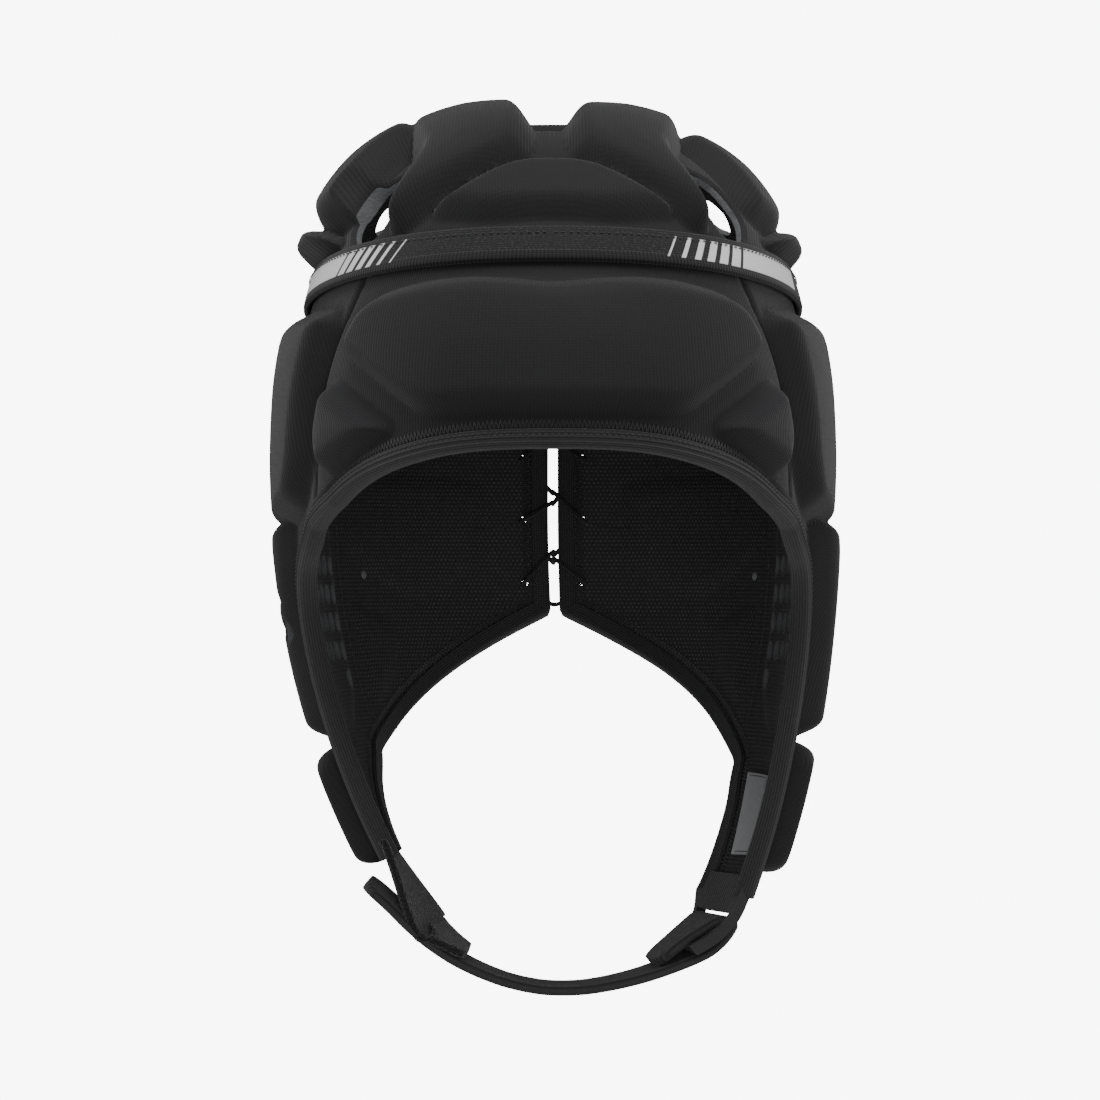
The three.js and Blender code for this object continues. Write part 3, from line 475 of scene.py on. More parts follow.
class Finish:
    """One material with a Principled shader."""

    def __init__(self, name, **constants):
        self.material = bpy.data.materials.new(name)
        self.material.use_nodes = True
        self.tree = self.material.node_tree
        self.shader = self.tree.nodes["Principled BSDF"]
        for socket, value in constants.items():
            self.shader.inputs[socket.replace("_", " ")].default_value = value

    def node(self, kind, settings=None, inputs=None, output=0):
        """Any node: its settings first, then its sockets by number or name."""
        made = self.tree.nodes.new(kind)
        for key, value in (settings or {}).items():
            setattr(made, key, value)
        for key, value in (inputs or {}).items():
            self.feed(made.inputs[key], value)
        return Signal(self, made.outputs[output])

    def feed(self, socket, value):
        if isinstance(value, Signal):
            self.tree.links.new(value.socket, socket)
        else:
            socket.default_value = value

    def weave(self):
        """Distance across and down the piece, in metres, from its own UV map."""
        vector = self.node("ShaderNodeUVMap", {"uv_map": "weave"})
        split = [self.node("ShaderNodeSeparateXYZ", None, {0: vector}, k) for k in (0, 1)]
        return vector, split[0], split[1]

    def place(self):
        return self.node("ShaderNodeTexCoord", output="Object")

    def noise(self, vector, scale, detail=3, output=0):
        return self.node("ShaderNodeTexNoise", None,
                         {"Vector": vector, "Scale": scale, "Detail": detail}, output)

    def cells(self, vector, scale, feature="F1"):
        return self.node("ShaderNodeTexVoronoi", {"feature": feature},
                         {"Vector": vector, "Scale": scale})

    def stretch(self, vector, factors):
        return self.node("ShaderNodeVectorMath", {"operation": "MULTIPLY"}, {0: vector, 1: factors})

    def blend(self, share, low, high):
        """A colour between two, which are colours or links."""
        made = self.tree.nodes.new("ShaderNodeMix")
        made.data_type = "RGBA"
        self.feed(made.inputs[0], share)
        self.feed(made.inputs[6], low if isinstance(low, Signal) else (*low, 1))
        self.feed(made.inputs[7], high if isinstance(high, Signal) else (*high, 1))
        return Signal(self, made.outputs[2])

    def soften(self, value, low, high):
        """Zero up to low, one from high, and smooth between them."""
        made = self.tree.nodes.new("ShaderNodeMapRange")
        made.interpolation_type = "SMOOTHSTEP"
        for key, number in (("Value", value), ("From Min", low), ("From Max", high)):
            self.feed(made.inputs[key], number)
        return Signal(self, made.outputs[0])

    def paint(self, colour=None, roughness=None):
        if colour is not None:
            self.feed(self.shader.inputs["Base Color"], colour)
        if roughness is not None:
            self.feed(self.shader.inputs["Roughness"], roughness)

    def emboss(self, height, depth):
        """Relief: height from 0 to 1 stands for depth metres."""
        bump = self.node("ShaderNodeBump", None, {"Height": height, "Distance": depth, "Strength": 1.0})
        self.feed(self.shader.inputs["Normal"], bump)


TURN = 2 * math.pi
KNIT_RIB = 0.82 * MM
KNIT_COURSE = 0.8 * MM
BLACK_KNIT = (0.015, 0.015, 0.016)
KNIT_SHEEN = (0.027, 0.027, 0.029)
LINING_BLACK = (0.022, 0.022, 0.023)
LINING_DOT = (0.13, 0.13, 0.135)
FOAM_GREY = (0.17, 0.175, 0.18)
TAPE_BLACK = (0.012, 0.012, 0.013)
THREAD_BLACK = (0.03, 0.03, 0.032)
BAND_BLACK = (0.013, 0.013, 0.014)
PRINT_WHITE = (0.9, 0.9, 0.9)
LABEL_GREY = (0.4, 0.41, 0.42)


def waves(distance, pitch):
    """A sine that swings from 0 to 1 once in each pitch."""
    return (distance * (TURN / pitch)).sine() * 0.5 + 0.5


def knit_finish():
    """Fine upright ribs, a slow change of shade and a few paler fibres."""
    f = Finish("knit", Sheen_Weight=0.16, Sheen_Roughness=0.4, Specular_IOR_Level=0.2)
    vector, u, v = f.weave()
    drift = f.noise(vector, 90, 2) * 0.0005
    ribs = waves(u + drift, KNIT_RIB)
    courses = waves(v, KNIT_COURSE)
    fibre = f.noise(f.stretch(vector, (3, 1, 1)), 1500, 3)
    tone = f.blend(f.noise(vector, 18, 3), BLACK_KNIT, KNIT_SHEEN)
    fleck = f.soften(fibre, 0.62, 0.78) * 0.3
    f.paint(f.blend(fleck + ribs * 0.22, tone, (0.05, 0.05, 0.053)), 0.6 + ribs * 0.15)
    f.emboss(ribs * 0.7 + courses * 0.2 + fibre * 0.5, 0.12 * MM)
    return f.material


def lining_finish():
    """An open mesh: staggered round dots that stand proud of a darker ground."""
    f = Finish("lining", Sheen_Weight=0.08, Specular_IOR_Level=0.2)
    vector, u, v = f.weave()
    pitch = 1.5 * MM
    row = v / (pitch * 0.87)
    shift = (row * 0.5).fraction() > 0.5
    across = (u / pitch + shift * 0.5).fraction() - 0.5
    down = row.fraction() - 0.5
    dot = f.soften(across * across + down * down, 0.12, 0.03)
    fibre = f.noise(vector, 1500, 3)
    patchy = f.noise(vector, 260, 3)
    f.paint(f.blend(dot * patchy * 0.9 + fibre * 0.3, LINING_BLACK, LINING_DOT), 0.8)
    f.emboss(dot + fibre * 0.3, 0.2 * MM)
    return f.material


def foam_finish():
    """Cut foam: closed cells of two sizes in mid grey."""
    f = Finish("foam", Specular_IOR_Level=0.25)
    place = f.place()
    large = f.cells(place, 1400)
    small = f.cells(place, 3200)
    tone = f.blend(f.noise(place, 300, 4), FOAM_GREY, (0.1, 0.103, 0.108))
    f.paint(tone, 0.9)
    f.emboss(large * 0.7 + small * 0.3, 0.25 * MM)
    return f.material


def tape_finish(name="tape", colour=TAPE_BLACK, pitch=0.85 * MM):
    """Close ribs along the tape with short cross threads, and a painted highlight on the rib crests."""
    f = Finish(name, Sheen_Weight=0.15, Specular_IOR_Level=0.25)
    vector, u, v = f.weave()
    ribs = waves(v, pitch)
    threads = waves(u + ribs * 0.0001, 0.6 * MM)
    fibre = f.noise(vector, 1800, 3)
    # Rib crests are painted paler toward a light grey, a painted highlight along the ribs; the fibre flecks
    # are the cloth's own tone.
    f.paint(f.blend(ribs * 0.3 + fibre * 0.25, colour, (0.1, 0.1, 0.105)), 0.65)
    f.emboss(ribs * 0.6 + threads * 0.4 + fibre * 0.4, 0.16 * MM)
    return f.material


def lace_finish():
    f = Finish("lace", Sheen_Weight=0.15)
    vector, u, v = f.weave()
    braid = ((u * 0.7 + v) * (TURN / (0.9 * MM))).sine() * ((u * 0.7 - v) * (TURN / (0.9 * MM))).sine()
    f.paint(f.blend(braid * 0.25 + 0.25, (0.007, 0.007, 0.0075), (0.03, 0.03, 0.032)), 0.7)
    f.emboss(braid, 0.15 * MM)
    return f.material


def thread_finish():
    """Twisted thread, a little paler than the cloth."""
    f = Finish("thread", Sheen_Weight=0.2, Specular_IOR_Level=0.4)
    place = f.place()
    f.paint(f.blend(f.noise(place, 2600, 3), THREAD_BLACK, (0.06, 0.06, 0.063)), 0.55)
    f.emboss(f.noise(place, 3200, 2), 0.05 * MM)
    return f.material


def pile_finish():
    """Short loops packed at random, with painted shade in the hollows between them."""
    f = Finish("pile", Sheen_Weight=0.35, Specular_IOR_Level=0.2)
    place = f.place()
    loops = f.cells(place, 1500)
    fibre = f.noise(place, 2500, 4)
    # Colour darkens from each loop's middle to the low ground between loops: painted shade in the hollows.
    f.paint(f.blend(loops, (0.02, 0.02, 0.021), (0.006, 0.006, 0.0065)), 0.95)
    f.emboss(1 - loops + fibre * 0.4, 0.5 * MM)
    return f.material


def label_finish():
    f = Finish("label", Specular_IOR_Level=0.35)
    vector, u, v = f.weave()
    weft = waves(v, 0.35 * MM)
    f.paint(f.blend(f.noise(vector, 900, 3), LABEL_GREY, (0.48, 0.49, 0.5)), 0.6)
    f.emboss(weft, 0.03 * MM)
    return f.material


knit = knit_finish()
mesh_lining = lining_finish()
foam = foam_finish()
ribbed_tape = tape_finish()
webbing = tape_finish("webbing", (0.0115, 0.0115, 0.0125), 1.3 * MM)
cord_braid = lace_finish()
thread = thread_finish()
looped_pile = pile_finish()
bare_label = label_finish()


# Stitches

def stitches(name, slot, starts, ends, normals, radius=0.22 * MM, arch=0.35 * MM):
    """Short threads, all in one mesh: each bows out along its normal by a half sine, has a
    round section and thins to nothing at its ends."""
    along = unit(ends - starts)
    aside = np.cross(along, normals)
    t = np.linspace(0, 1, 5)
    middle = starts[:, None] + (ends - starts)[:, None] * t[None, :, None]
    middle = middle + normals[:, None] * (arch * np.sin(np.pi * t))[None, :, None]
    thin = radius * np.sqrt(np.clip(1 - (2 * t - 1) ** 4, 0.04, 1))
    turn = np.linspace(0, TURN, 4, endpoint=False)
    ring = aside[:, None] * np.cos(turn)[None, :, None] + normals[:, None] * np.sin(turn)[None, :, None]
    tube = middle[:, :, None] + ring[:, None] * thin[None, :, None, None]
    count, steps, around = tube.shape[:3]
    first = (np.arange(count) * steps * around)[:, None, None]
    row = (np.arange(steps - 1) * around)[None, :, None]
    here = np.arange(around)[None, None, :]
    after = (here + 1) % around
    quads = np.stack([first + row + here, first + row + after, first + row + around + after,
                      first + row + around + here], -1).reshape(-1, 4)
    ends_first = first[:, 0, 0][:, None]
    caps = [*(ends_first + np.arange(around)[::-1]).tolist(),
            *(ends_first + (steps - 1) * around + np.arange(around)).tolist()]
    piece = make_mesh(name, tube.reshape(-1, 3), quads.tolist() + caps, finishes=(thread,), sharp=80)
    return pieces_of(piece, slot)


def dashes(name, slot, points, normals, pitch, share, radius=0.22 * MM):
    """Running stitches along a line: one dash to each pitch, as long as its share of it."""
    run = travelled(points)
    begin = np.arange(0, run[-1] - pitch, pitch)
    starts = at_distances(points, run, begin)
    ends = at_distances(points, run, begin + pitch * share)
    return stitches(name, slot, starts, ends, unit(at_distances(normals, run, begin)), radius)


def zigzag(name, slot, near, far, normals, pitch, radius=0.2 * MM):
    """Threads that swing between two lines, one leg to each half pitch."""
    run = travelled(near)
    begin = np.arange(0, run[-1] - pitch, pitch)
    turns = at_distances(far, run, begin + pitch / 2)
    starts = np.concatenate([at_distances(near, run, begin), turns])
    ends = np.concatenate([turns, at_distances(near, run, begin + pitch)])
    out = [at_distances(normals, run, places) for places in (begin, begin + pitch / 2)]
    return stitches(name, slot, starts, ends, unit(np.concatenate(out)), radius)


# Padded panels

# How far round a hole the grid is tested, how steeply pads may rise from an edge or a hole,
# and the width and depth of a rounded edge
HOLE_REACH = 60 * MM
EDGE_SLOPE = 1.4
LIP_SLOPE = 1.5
EDGE_ROUNDING = 1.6 * MM
EDGE_FALL = 1.1 * MM


def panel(name, azimuth, level, pads, holes, weave, lip=None):
    """A wall that follows the lining, with pads that stand out of it and holes cut through
    both. Grid points round a hole are drawn on to its edge. With a lip, the pads fall to that
    height at a hole's edge."""
    shape = azimuth.shape
    base = lining(azimuth, level).reshape(-1, 3)
    keep = np.ones((shape[0] - 1, shape[1] - 1), bool)
    grid = base.reshape(*shape, 3)
    middles = (grid[:-1, :-1] + grid[1:, :-1] + grid[1:, 1:] + grid[:-1, 1:]).reshape(-1, 3) / 4
    for ring in holes:
        near = np.linalg.norm(middles - ring.mean(axis=0), axis=1) < HOLE_REACH
        cut = np.zeros(len(middles), bool)
        cut[near] = inside(middles[near], ring)
        keep &= ~cut.reshape(keep.shape)
    touched = np.zeros((4, *shape), bool)
    padded = np.pad(keep, 1, constant_values=True)
    for k, (dj, di) in enumerate(((0, 0), (0, 1), (1, 0), (1, 1))):
        touched[k] = padded[dj:dj + shape[0], di:di + shape[1]]
    rim = (touched.any(axis=0) & ~touched.all(axis=0)).ravel()
    hole_gap = np.full(len(base), np.inf)
    if holes:
        snapped = base[rim]
        best = np.full(len(snapped), np.inf)
        for ring in holes:
            near = np.linalg.norm(base - ring.mean(axis=0), axis=1) < HOLE_REACH
            far, _ = nearest(base[near], ring)
            hole_gap[near] = np.minimum(hole_gap[near], far)
            distance, foot = nearest(base[rim], ring)
            closer = distance < best
            best = np.where(closer, distance, best)
            snapped = np.where(closer[:, None], foot, snapped)
        base[rim] = snapped
        hole_gap[rim] = 0
    border = np.concatenate([grid[0, :], grid[1:, -1], grid[-1, -2::-1], grid[-2:0:-1, 0]])
    edge_gap, _ = nearest(base, border[::3])
    rise = np.zeros(len(base))
    sink = np.zeros(len(base))
    for corners, height in pads:
        depth = depth_in(base, outline(corners, PAD_CORNER))
        rise = np.maximum(rise, pad_profile(depth, height, min(BEVEL, 0.65 * (depth.max() + PAD_SPREAD))))
        sink = np.maximum(sink, np.clip(depth / (5 * MM), 0, 1) ** 0.7)
    rise = np.minimum(rise, edge_gap * EDGE_SLOPE)
    if lip is not None:
        rise = np.minimum(rise, lip + hole_gap * LIP_SLOPE)
    edge = np.clip(1 - np.minimum(edge_gap, hole_gap) / EDGE_ROUNDING, 0, 1) ** 2
    outer_rise = WALL + rise - edge * EDGE_FALL
    az, lv = locate(base)
    normal = outward(az, lv)
    outer = base + normal * outer_rise[:, None]
    inner = base - normal * (sink * LINING_SINK)[:, None]
    return shell(name, outer.reshape(*shape, 3), inner.reshape(*shape, 3), keep, weave,
                 (knit, mesh_lining, foam))


def mirrored(corners, side):
    return [[side * azimuth, level] for azimuth, level in corners]


CROWN_MIDDLE = (
    [[-10, 0.37], [9, 0.37], [27, 0.488], [13, 0.507], [-13, 0.507], [-27, 0.488]],
    [[-133, 0.115], [133, 0.115], [162, 0.44], [180, 0.44], [-162, 0.44]],
)
CROWN_TOP = (
    (1.3, [[-106, 0.045], [-7, 0.27], [-8, 0.366], [-31, 0.508], [-36, 0.50], [-36, 0.365], [-94, 0.245]]),
    (1.18, [[112, 0.025], [5, 0.27], [6.5, 0.362], [29, 0.508], [34, 0.50], [32.5, 0.36], [91, 0.215]]),
)
# Shares of the usual rise on the left and on the right, then the corners
CROWN_PAIRED = (
    (1.45, 0.9, [[57, 0.275], [64, 0.225], [112, 0.21], [107, 0.445], [67, 0.448], [54, 0.435]]),
    (1.3, 1, [[57, 0.482], [66, 0.45], [84, 0.425], [108, 0.43], [110, 0.48], [84, 0.492], [64, 0.489]]),
    (1.2, 1, [[115, 0.145], [113, 0.24], [131, 0.305], [138, 0.46], [155, 0.46], [150, 0.30]]),
)
FRONT_VENTS = (
    [[-44, 0.335], [-56, 0.37], [-56, 0.45], [-49, 0.5], [-41, 0.5], [-38, 0.41]],
    [[40, 0.335], [50, 0.36], [52, 0.44], [46, 0.5], [38.5, 0.5], [36.5, 0.41]],
)
REAR_VENT = [[117.5, 0.325], [127, 0.34], [129, 0.4], [119, 0.415], [113.5, 0.365]]


def crown_panel():
    """A square grid pressed into a disc, so that the crown has no pole: each coordinate is
    shrunk by the root of one less half the other's square."""
    count = 198
    x, y = np.meshgrid(np.linspace(-1, 1, count), np.linspace(1, -1, count))
    disc_x = x * np.sqrt(1 - y ** 2 / 2)
    disc_y = y * np.sqrt(1 - x ** 2 / 2)
    azimuth = np.degrees(np.arctan2(disc_x, -disc_y))
    level = np.hypot(disc_x, disc_y) * (band_level(azimuth) - GAP_LEVEL / 2)
    pads = [(corners, PAD_RISE * 0.8) for corners in CROWN_MIDDLE]
    pads += [(corners, PAD_RISE * share) for share, corners in CROWN_TOP]
    for side in (-1, 1):
        pads += [(mirrored(corners, side), PAD_RISE * (left if side < 0 else right))
                 for left, right, corners in CROWN_PAIRED]
    vents = [*FRONT_VENTS, mirrored(REAR_VENT, -1), REAR_VENT]
    weave = lining(azimuth, level)[..., :2]
    piece = panel("crown_pads", azimuth, level, pads, [outline(v, VENT_CORNER) for v in vents], weave,
                  VENT_LIP)
    return pieces_of(piece, "knit", "crown_panel")


FOREHEAD_SEAM = [[0, 37.5], [0.12, 40], [0.28, 45], [0.42, 48.5], [0.7, 51], [1, 52.5]]
BROW_LINE = [[0, 0.899], [20.5, 0.914], [33, 0.95], [46, 1.02], [52.5, 1.065]]
FOREHEAD_MIDDLE = [[-35, 0.632], [0, 0.632], [35, 0.632], [40, 0.712], [20, 0.85], [0, 0.848],
                   [-20, 0.85], [-40, 0.712]]
FOREHEAD_CORNER = [[45, 0.75], [26, 0.866], [33, 0.9], [45, 0.95], [48, 0.86]]


def lower_band_level(azimuth):
    return band_level(azimuth) + GAP_LEVEL / 2


def brow_level(azimuth):
    return bend(BROW_LINE, np.abs(azimuth), even=True)


def wrap_weave(azimuth, level):
    """Distance round the head, and height, in metres."""
    return np.stack([np.radians(azimuth) * WRAP_RADIUS, lining(azimuth, level)[..., 2]], -1)


def forehead_place(across, down):
    azimuth = (2 * across - 1) * (bend(FOREHEAD_SEAM, down) - GAP_ANGLE / 2)
    return azimuth, mix(lower_band_level(azimuth), brow_level(azimuth), down)


def forehead_panel():
    across, down = np.meshgrid(np.linspace(0, 1, 230), np.linspace(0, 1, 84))
    azimuth, level = forehead_place(across, down)
    pads = [(FOREHEAD_MIDDLE, PAD_RISE)]
    pads += [(mirrored(FOREHEAD_CORNER, side), PAD_RISE * 0.85) for side in (-1, 1)]
    piece = panel("forehead_pads", azimuth, level, pads, [], wrap_weave(azimuth, level))
    return pieces_of(piece, "knit", "forehead_panel")


REAR_SEAM = 122
SEAM_ROWS = 6
# Face edge azimuth and level, rear edge azimuth and level
CHEEK_ROWS = {
    -1: ((58, 1.13, REAR_SEAM, 1.15), (66.5, 1.21, REAR_SEAM, 1.26), (73.5, 1.32, REAR_SEAM, 1.38),
         (77.7, 1.45, REAR_SEAM, 1.5), (79.5, 1.58, REAR_SEAM, 1.62), (79, 1.7, REAR_SEAM, 1.74)),
    1: ((58, 1.13, REAR_SEAM, 1.15), (66, 1.21, REAR_SEAM, 1.26), (71.5, 1.32, REAR_SEAM, 1.38),
        (74, 1.45, REAR_SEAM, 1.5), (74.5, 1.58, REAR_SEAM, 1.62), (74, 1.7, REAR_SEAM, 1.74)),
}
FLAP_ROWS = {
    -1: ((78.7, 1.79, 118.5, 1.82), (79, 1.88, 111.5, 1.9), (79.8, 1.96, 106, 1.97),
         (80.5, 2.03, 102, 2.04), (81, 2.1, 100, 2.1)),
    1: ((75, 1.8, 121, 1.87), (77.5, 1.91, 119, 1.96), (80.5, 2.02, 118, 2.05),
        (84, 2.13, 117.5, 2.14), (86, 2.23, 117.5, 2.23)),
}
SIDE_PADS = (
    [[44.5, 0.632], [50.8, 0.77], [53.2, 0.92], [58, 1.005], [80, 1.08], [94, 1.085], [93, 0.61]],
    [[97, 0.612], [118.5, 0.625], [118.5, 0.80], [97, 0.80]],
    [[97.5, 0.842], [118.5, 0.842], [118.5, 1.055], [98, 1.07]],
)
EAR_PAD = {
    -1: [[70, 1.035], [117.5, 1.02], [118.5, 1.58], [109, 1.73], [88, 1.72], [86.3, 1.42], [82, 1.24]],
    1: [[67, 1.035], [117.5, 1.02], [118.5, 1.58], [109, 1.73], [84, 1.72], [81.5, 1.42], [77, 1.24]],
}
# Azimuth of each column of ear holes, with its first and last row
EAR_COLUMNS = ((90.6, 0, 3), (96.7, 0, 4), (102.8, 0, 4), (108.9, 0, 4), (115, 1, 5))
FIRST_EAR_LEVEL = 1.1


def side_edges(side, down):
    """Face edge and rear edge of a side panel at shares of its rows: the forehead seam first,
    then a smooth curve through the table's rows."""
    rows = np.array([*CHEEK_ROWS[side], *FLAP_ROWS[side]], float)
    last = SEAM_ROWS - 1 + len(rows)
    place = down * last
    share = np.clip(place / (SEAM_ROWS - 1), 0, 1)
    seam_azimuth = bend(FOREHEAD_SEAM, share)
    seam_level = mix(lower_band_level(seam_azimuth), brow_level(seam_azimuth), share)
    rear_level = mix(lower_band_level(np.full_like(share, REAR_SEAM)), CHEEK_ROWS[side][0][3] - 0.1, share)
    start = (FOREHEAD_SEAM[-1][1], BROW_LINE[-1][1], REAR_SEAM, CHEEK_ROWS[side][0][3] - 0.1)
    table = np.concatenate([[start], rows])
    low = through(table, np.clip((place - (SEAM_ROWS - 1)) / len(rows), 0, 1))
    upper = np.stack([seam_azimuth, seam_level, np.full_like(share, REAR_SEAM), rear_level], -1)
    return np.where((place < SEAM_ROWS - 1)[:, None], upper, low)


def side_place(side, across, down):
    """Straight across from the face edge to the rear edge; the top row follows the band."""
    edges = side_edges(side, down[:, 0])
    turn = 1 - across if side < 0 else across
    azimuth = mix(edges[:, 0:1] + GAP_ANGLE / 2, edges[:, 2:3] - GAP_ANGLE / 2, turn)
    level = mix(edges[:, 1:2], edges[:, 3:4], turn)
    rows = SEAM_ROWS - 1 + len(CHEEK_ROWS[side]) + len(FLAP_ROWS[side])
    top = np.clip(1 - down * rows, 0, 1)
    level = mix(level, lower_band_level(azimuth), top)
    return side * azimuth, level


def side_panel(side, name):
    across, down = np.meshgrid(np.linspace(0, 1, 112), np.linspace(0, 1, 236))
    azimuth, level = side_place(side, across, down)
    pads = [(mirrored(corners, side), PAD_RISE) for corners in SIDE_PADS]
    pads.append((mirrored(EAR_PAD[side], side), EAR_PAD_RISE[side]))
    holes = []
    for column, first, last in EAR_COLUMNS:
        for row in range(first, last + 1):
            height = FIRST_EAR_LEVEL + row * EAR_HOLE_PITCH / SKIRT_DROP
            holes.append(circle(side * column, height, EAR_HOLE_RADIUS))
    piece = panel(f"side_pads_{name}", azimuth, level, pads, holes, wrap_weave(azimuth, level))
    return pieces_of(piece, "knit", f"side_panel_{name}")


SPLIT_EDGE = SPLIT_GAP / 2 + TAPE + TAPE_FIT
SPLIT_AZIMUTH = 180 - math.degrees(math.asin(SPLIT_EDGE / REAR_REACH))
NAPE_LINE = {
    -1: [[REAR_SEAM, 1.78], [129, 1.735], [140, 1.65], [152, 1.55], [168, 1.42], [180, 1.33]],
    1: [[REAR_SEAM, 1.82], [129, 1.755], [140, 1.65], [152, 1.545], [168, 1.42], [180, 1.33]],
}
BACK_PADS = (
    [[126.5, 0.665], [147, 0.68], [167, 0.70], [166, 0.89], [126.5, 0.865]],
    [[126.5, 0.915], [166, 0.94], [164, 1.2], [148, 1.32], [126.5, 1.15]],
    [[126.5, 1.30], [142, 1.39], [138, 1.56], [127, 1.66]],
)
LACE_LEVELS = (0.74, 0.885, 1.04, 1.25)
LACE_ASIDE = 10 * MM
TIE_HOLES = {-1: (-133, 1.222), 1: (128.5, 1.227)}


def back_place(side, across, down):
    turn = 1 - across if side < 0 else across
    azimuth = mix(REAR_SEAM + GAP_ANGLE / 2, SPLIT_AZIMUTH, turn)
    level = mix(lower_band_level(azimuth), bend(NAPE_LINE[side], azimuth), down)
    return side * azimuth, level


def aside_azimuth(aside):
    return 180 - math.degrees(math.asin(aside / REAR_REACH))


def back_panel(side, name):
    across, down = np.meshgrid(np.linspace(0, 1, 112), np.linspace(0, 1, 150))
    azimuth, level = back_place(side, across, down)
    pads = [(mirrored(corners, side), PAD_RISE) for corners in BACK_PADS]
    holes = [circle(side * aside_azimuth(LACE_ASIDE), row, EYELET_RADIUS) for row in LACE_LEVELS]
    holes.append(circle(*TIE_HOLES[side], TIE_HOLE_RADIUS))
    piece = panel(f"back_pads_{name}", azimuth, level, pads, holes, wrap_weave(azimuth, level))
    return pieces_of(piece, "knit", f"back_panel_{name}")


JAW_PADS = {
    -1: [[-83.5, 1.748], [-110, 1.756], [-101.8, 1.93], [-93.4, 2.1], [-87, 2.11]],
    1: [[80.5, 1.737], [116, 1.742], [112, 2.14], [90.3, 2.155], [83, 1.92]],
}


def jaw_pad(side, name):
    """Rings drawn in from the outline towards its middle: a near upright side, a round
    shoulder and a flat top, over a floor that stands clear of the flap."""
    ring = outline(JAW_PADS[side], PAD_CORNER)
    centre = ring.mean(axis=0)
    rings = []
    weave = []
    shares = np.concatenate([np.linspace(0, 1, 12) ** 1.5 * 0.3, np.linspace(0.34, 0.985, 22)])
    floor = WALL + JAW_PAD_CLEARANCE
    top = WALL + JAW_PAD_RISE
    reach = np.linalg.norm(ring - centre, axis=1)
    for share in shares[::-1]:
        rings.append(lift(mix(ring, centre, share), np.full(len(ring), floor)))
    for share in shares:
        depth = share * reach.mean()
        t = np.clip(depth / (5 * MM), 0, 1)
        rise = mix(floor + 0.6 * MM, top, (1 - (1 - t) ** 2.4) ** (1 / 1.6))
        rings.append(lift(mix(ring, centre, share), np.full(len(ring), rise)))
    rings = np.array(rings)
    normal = outward(*locate(centre))
    if np.dot(np.cross(ring[1] - ring[0], centre - ring[0]), normal) > 0:
        rings = rings[:, ::-1]
    azimuth, level = locate(rings)
    piece = sleeve(f"jaw_pad_cover_{name}", rings, wrap_weave(azimuth, level), (knit,), sharp=40)
    return pieces_of(piece, "knit", f"jaw_pad_{name}")


padded_pieces = [
    crown_panel(),
    forehead_panel(),
    side_panel(-1, "left"),
    side_panel(1, "right"),
    back_panel(-1, "left"),
    back_panel(1, "right"),
    jaw_pad(-1, "left"),
    jaw_pad(1, "right"),
]


# Lining seams

YOKE_EDGE = np.array([[124, 0.8], [136, 0.93], [150, 1.03], [162, 1.07], [172, 1.05], [178, 0.99]])
EAR_SEAM_SHIFTS = {"front": -1.2, "rear": 1.6}


def lining_seams():
    """Dashed lines on the lining: beside the seam behind each ear, and round the yoke, a cloth
    patch across the top of the back."""
    for side, name in ((-1, "left"), (1, "right")):
        level = np.linspace(0.75, 1.72, 60)
        for word, shift in EAR_SEAM_SHIFTS.items():
            azimuth = np.full_like(level, side * (REAR_SEAM + shift))
            dashes(f"ear_seam_{name}_{word}", "knit",
                   lift(lining(azimuth, level), np.full_like(level, -0.5 * MM)),
                   -outward(azimuth, level), 2.6 * MM, 0.45, 0.25 * MM)
        angle, height = (bend(YOKE_EDGE[:, [0, k]], np.linspace(124, 177.5, 60)) for k in (0, 1))
        place = side * angle, height
        dashes(f"yoke_seam_{name}", "knit", head(*place, np.full_like(height, -1.0 * MM)),
               -outward(*place), 2.4 * MM, 0.5, 0.2 * MM)


lining_seams()


# Band

# Edges of the printed bars, in degrees from the forehead; the last bar runs on to the side
BARS = ((25.8, 26.2), (28.6, 29.5), (31.4, 32.8), (34.2, 36), (37.2, 39.4), (40.4, 43), (43.8, 72))
BAR_SLANT = 4.3
BARS_MIDDLE = -4
BAND_HEM = 3 * MM
BAND_STITCH = 2.3 * MM


def band_finish():
    """Heathered elastic: fine ribs, paler flecks, a hem of short upright ribs below a dotted
    line, and white bars that all lean one way on both sides."""
    f = Finish("band", Sheen_Weight=0.15, Specular_IOR_Level=0.25)
    vector, u, v = f.weave()
    ribs = waves(v, 0.8 * MM)
    fibre = f.noise(f.stretch(vector, (0.8, 1.2, 1)), 1900, 4)
    fleck = f.soften(fibre, 0.5, 0.7)
    hem = v < BAND_HEM - BAND_WIDTH / 2
    uprights = waves(u, 1.1 * MM)
    line = f.soften((v - (BAND_HEM - BAND_WIDTH / 2)).size(), 0.35 * MM, 0.2 * MM)
    dots = line * uprights
    cloth = f.blend(fleck * 0.55 + ribs * 0.08, BAND_BLACK, (0.085, 0.085, 0.09))
    cloth = f.blend(hem, cloth, f.blend(uprights, (0.008, 0.008, 0.0085), (0.022, 0.022, 0.023)))
    cloth = f.blend(dots * 0.6, cloth, (0.06, 0.06, 0.063))
    metres = WRAP_RADIUS * math.pi / 180
    shifted = (u / metres - v / BAND_WIDTH * BAR_SLANT - BARS_MIDDLE).size()
    ink = None
    for first, last in BARS:
        bar = f.soften(shifted, first - 0.1, first + 0.1) * f.soften(shifted, last + 0.1, last - 0.1)
        ink = bar if ink is None else ink + bar
    inner = f.soften((v / BAND_WIDTH).size(), 0.31, 0.28)
    ink = ink * inner
    f.paint(f.blend(ink, cloth, PRINT_WHITE), 0.75 - ink * 0.2)
    f.emboss(ribs * 0.4 + fibre * 0.5 + hem * uprights * 0.8, 0.14 * MM)
    return f.material


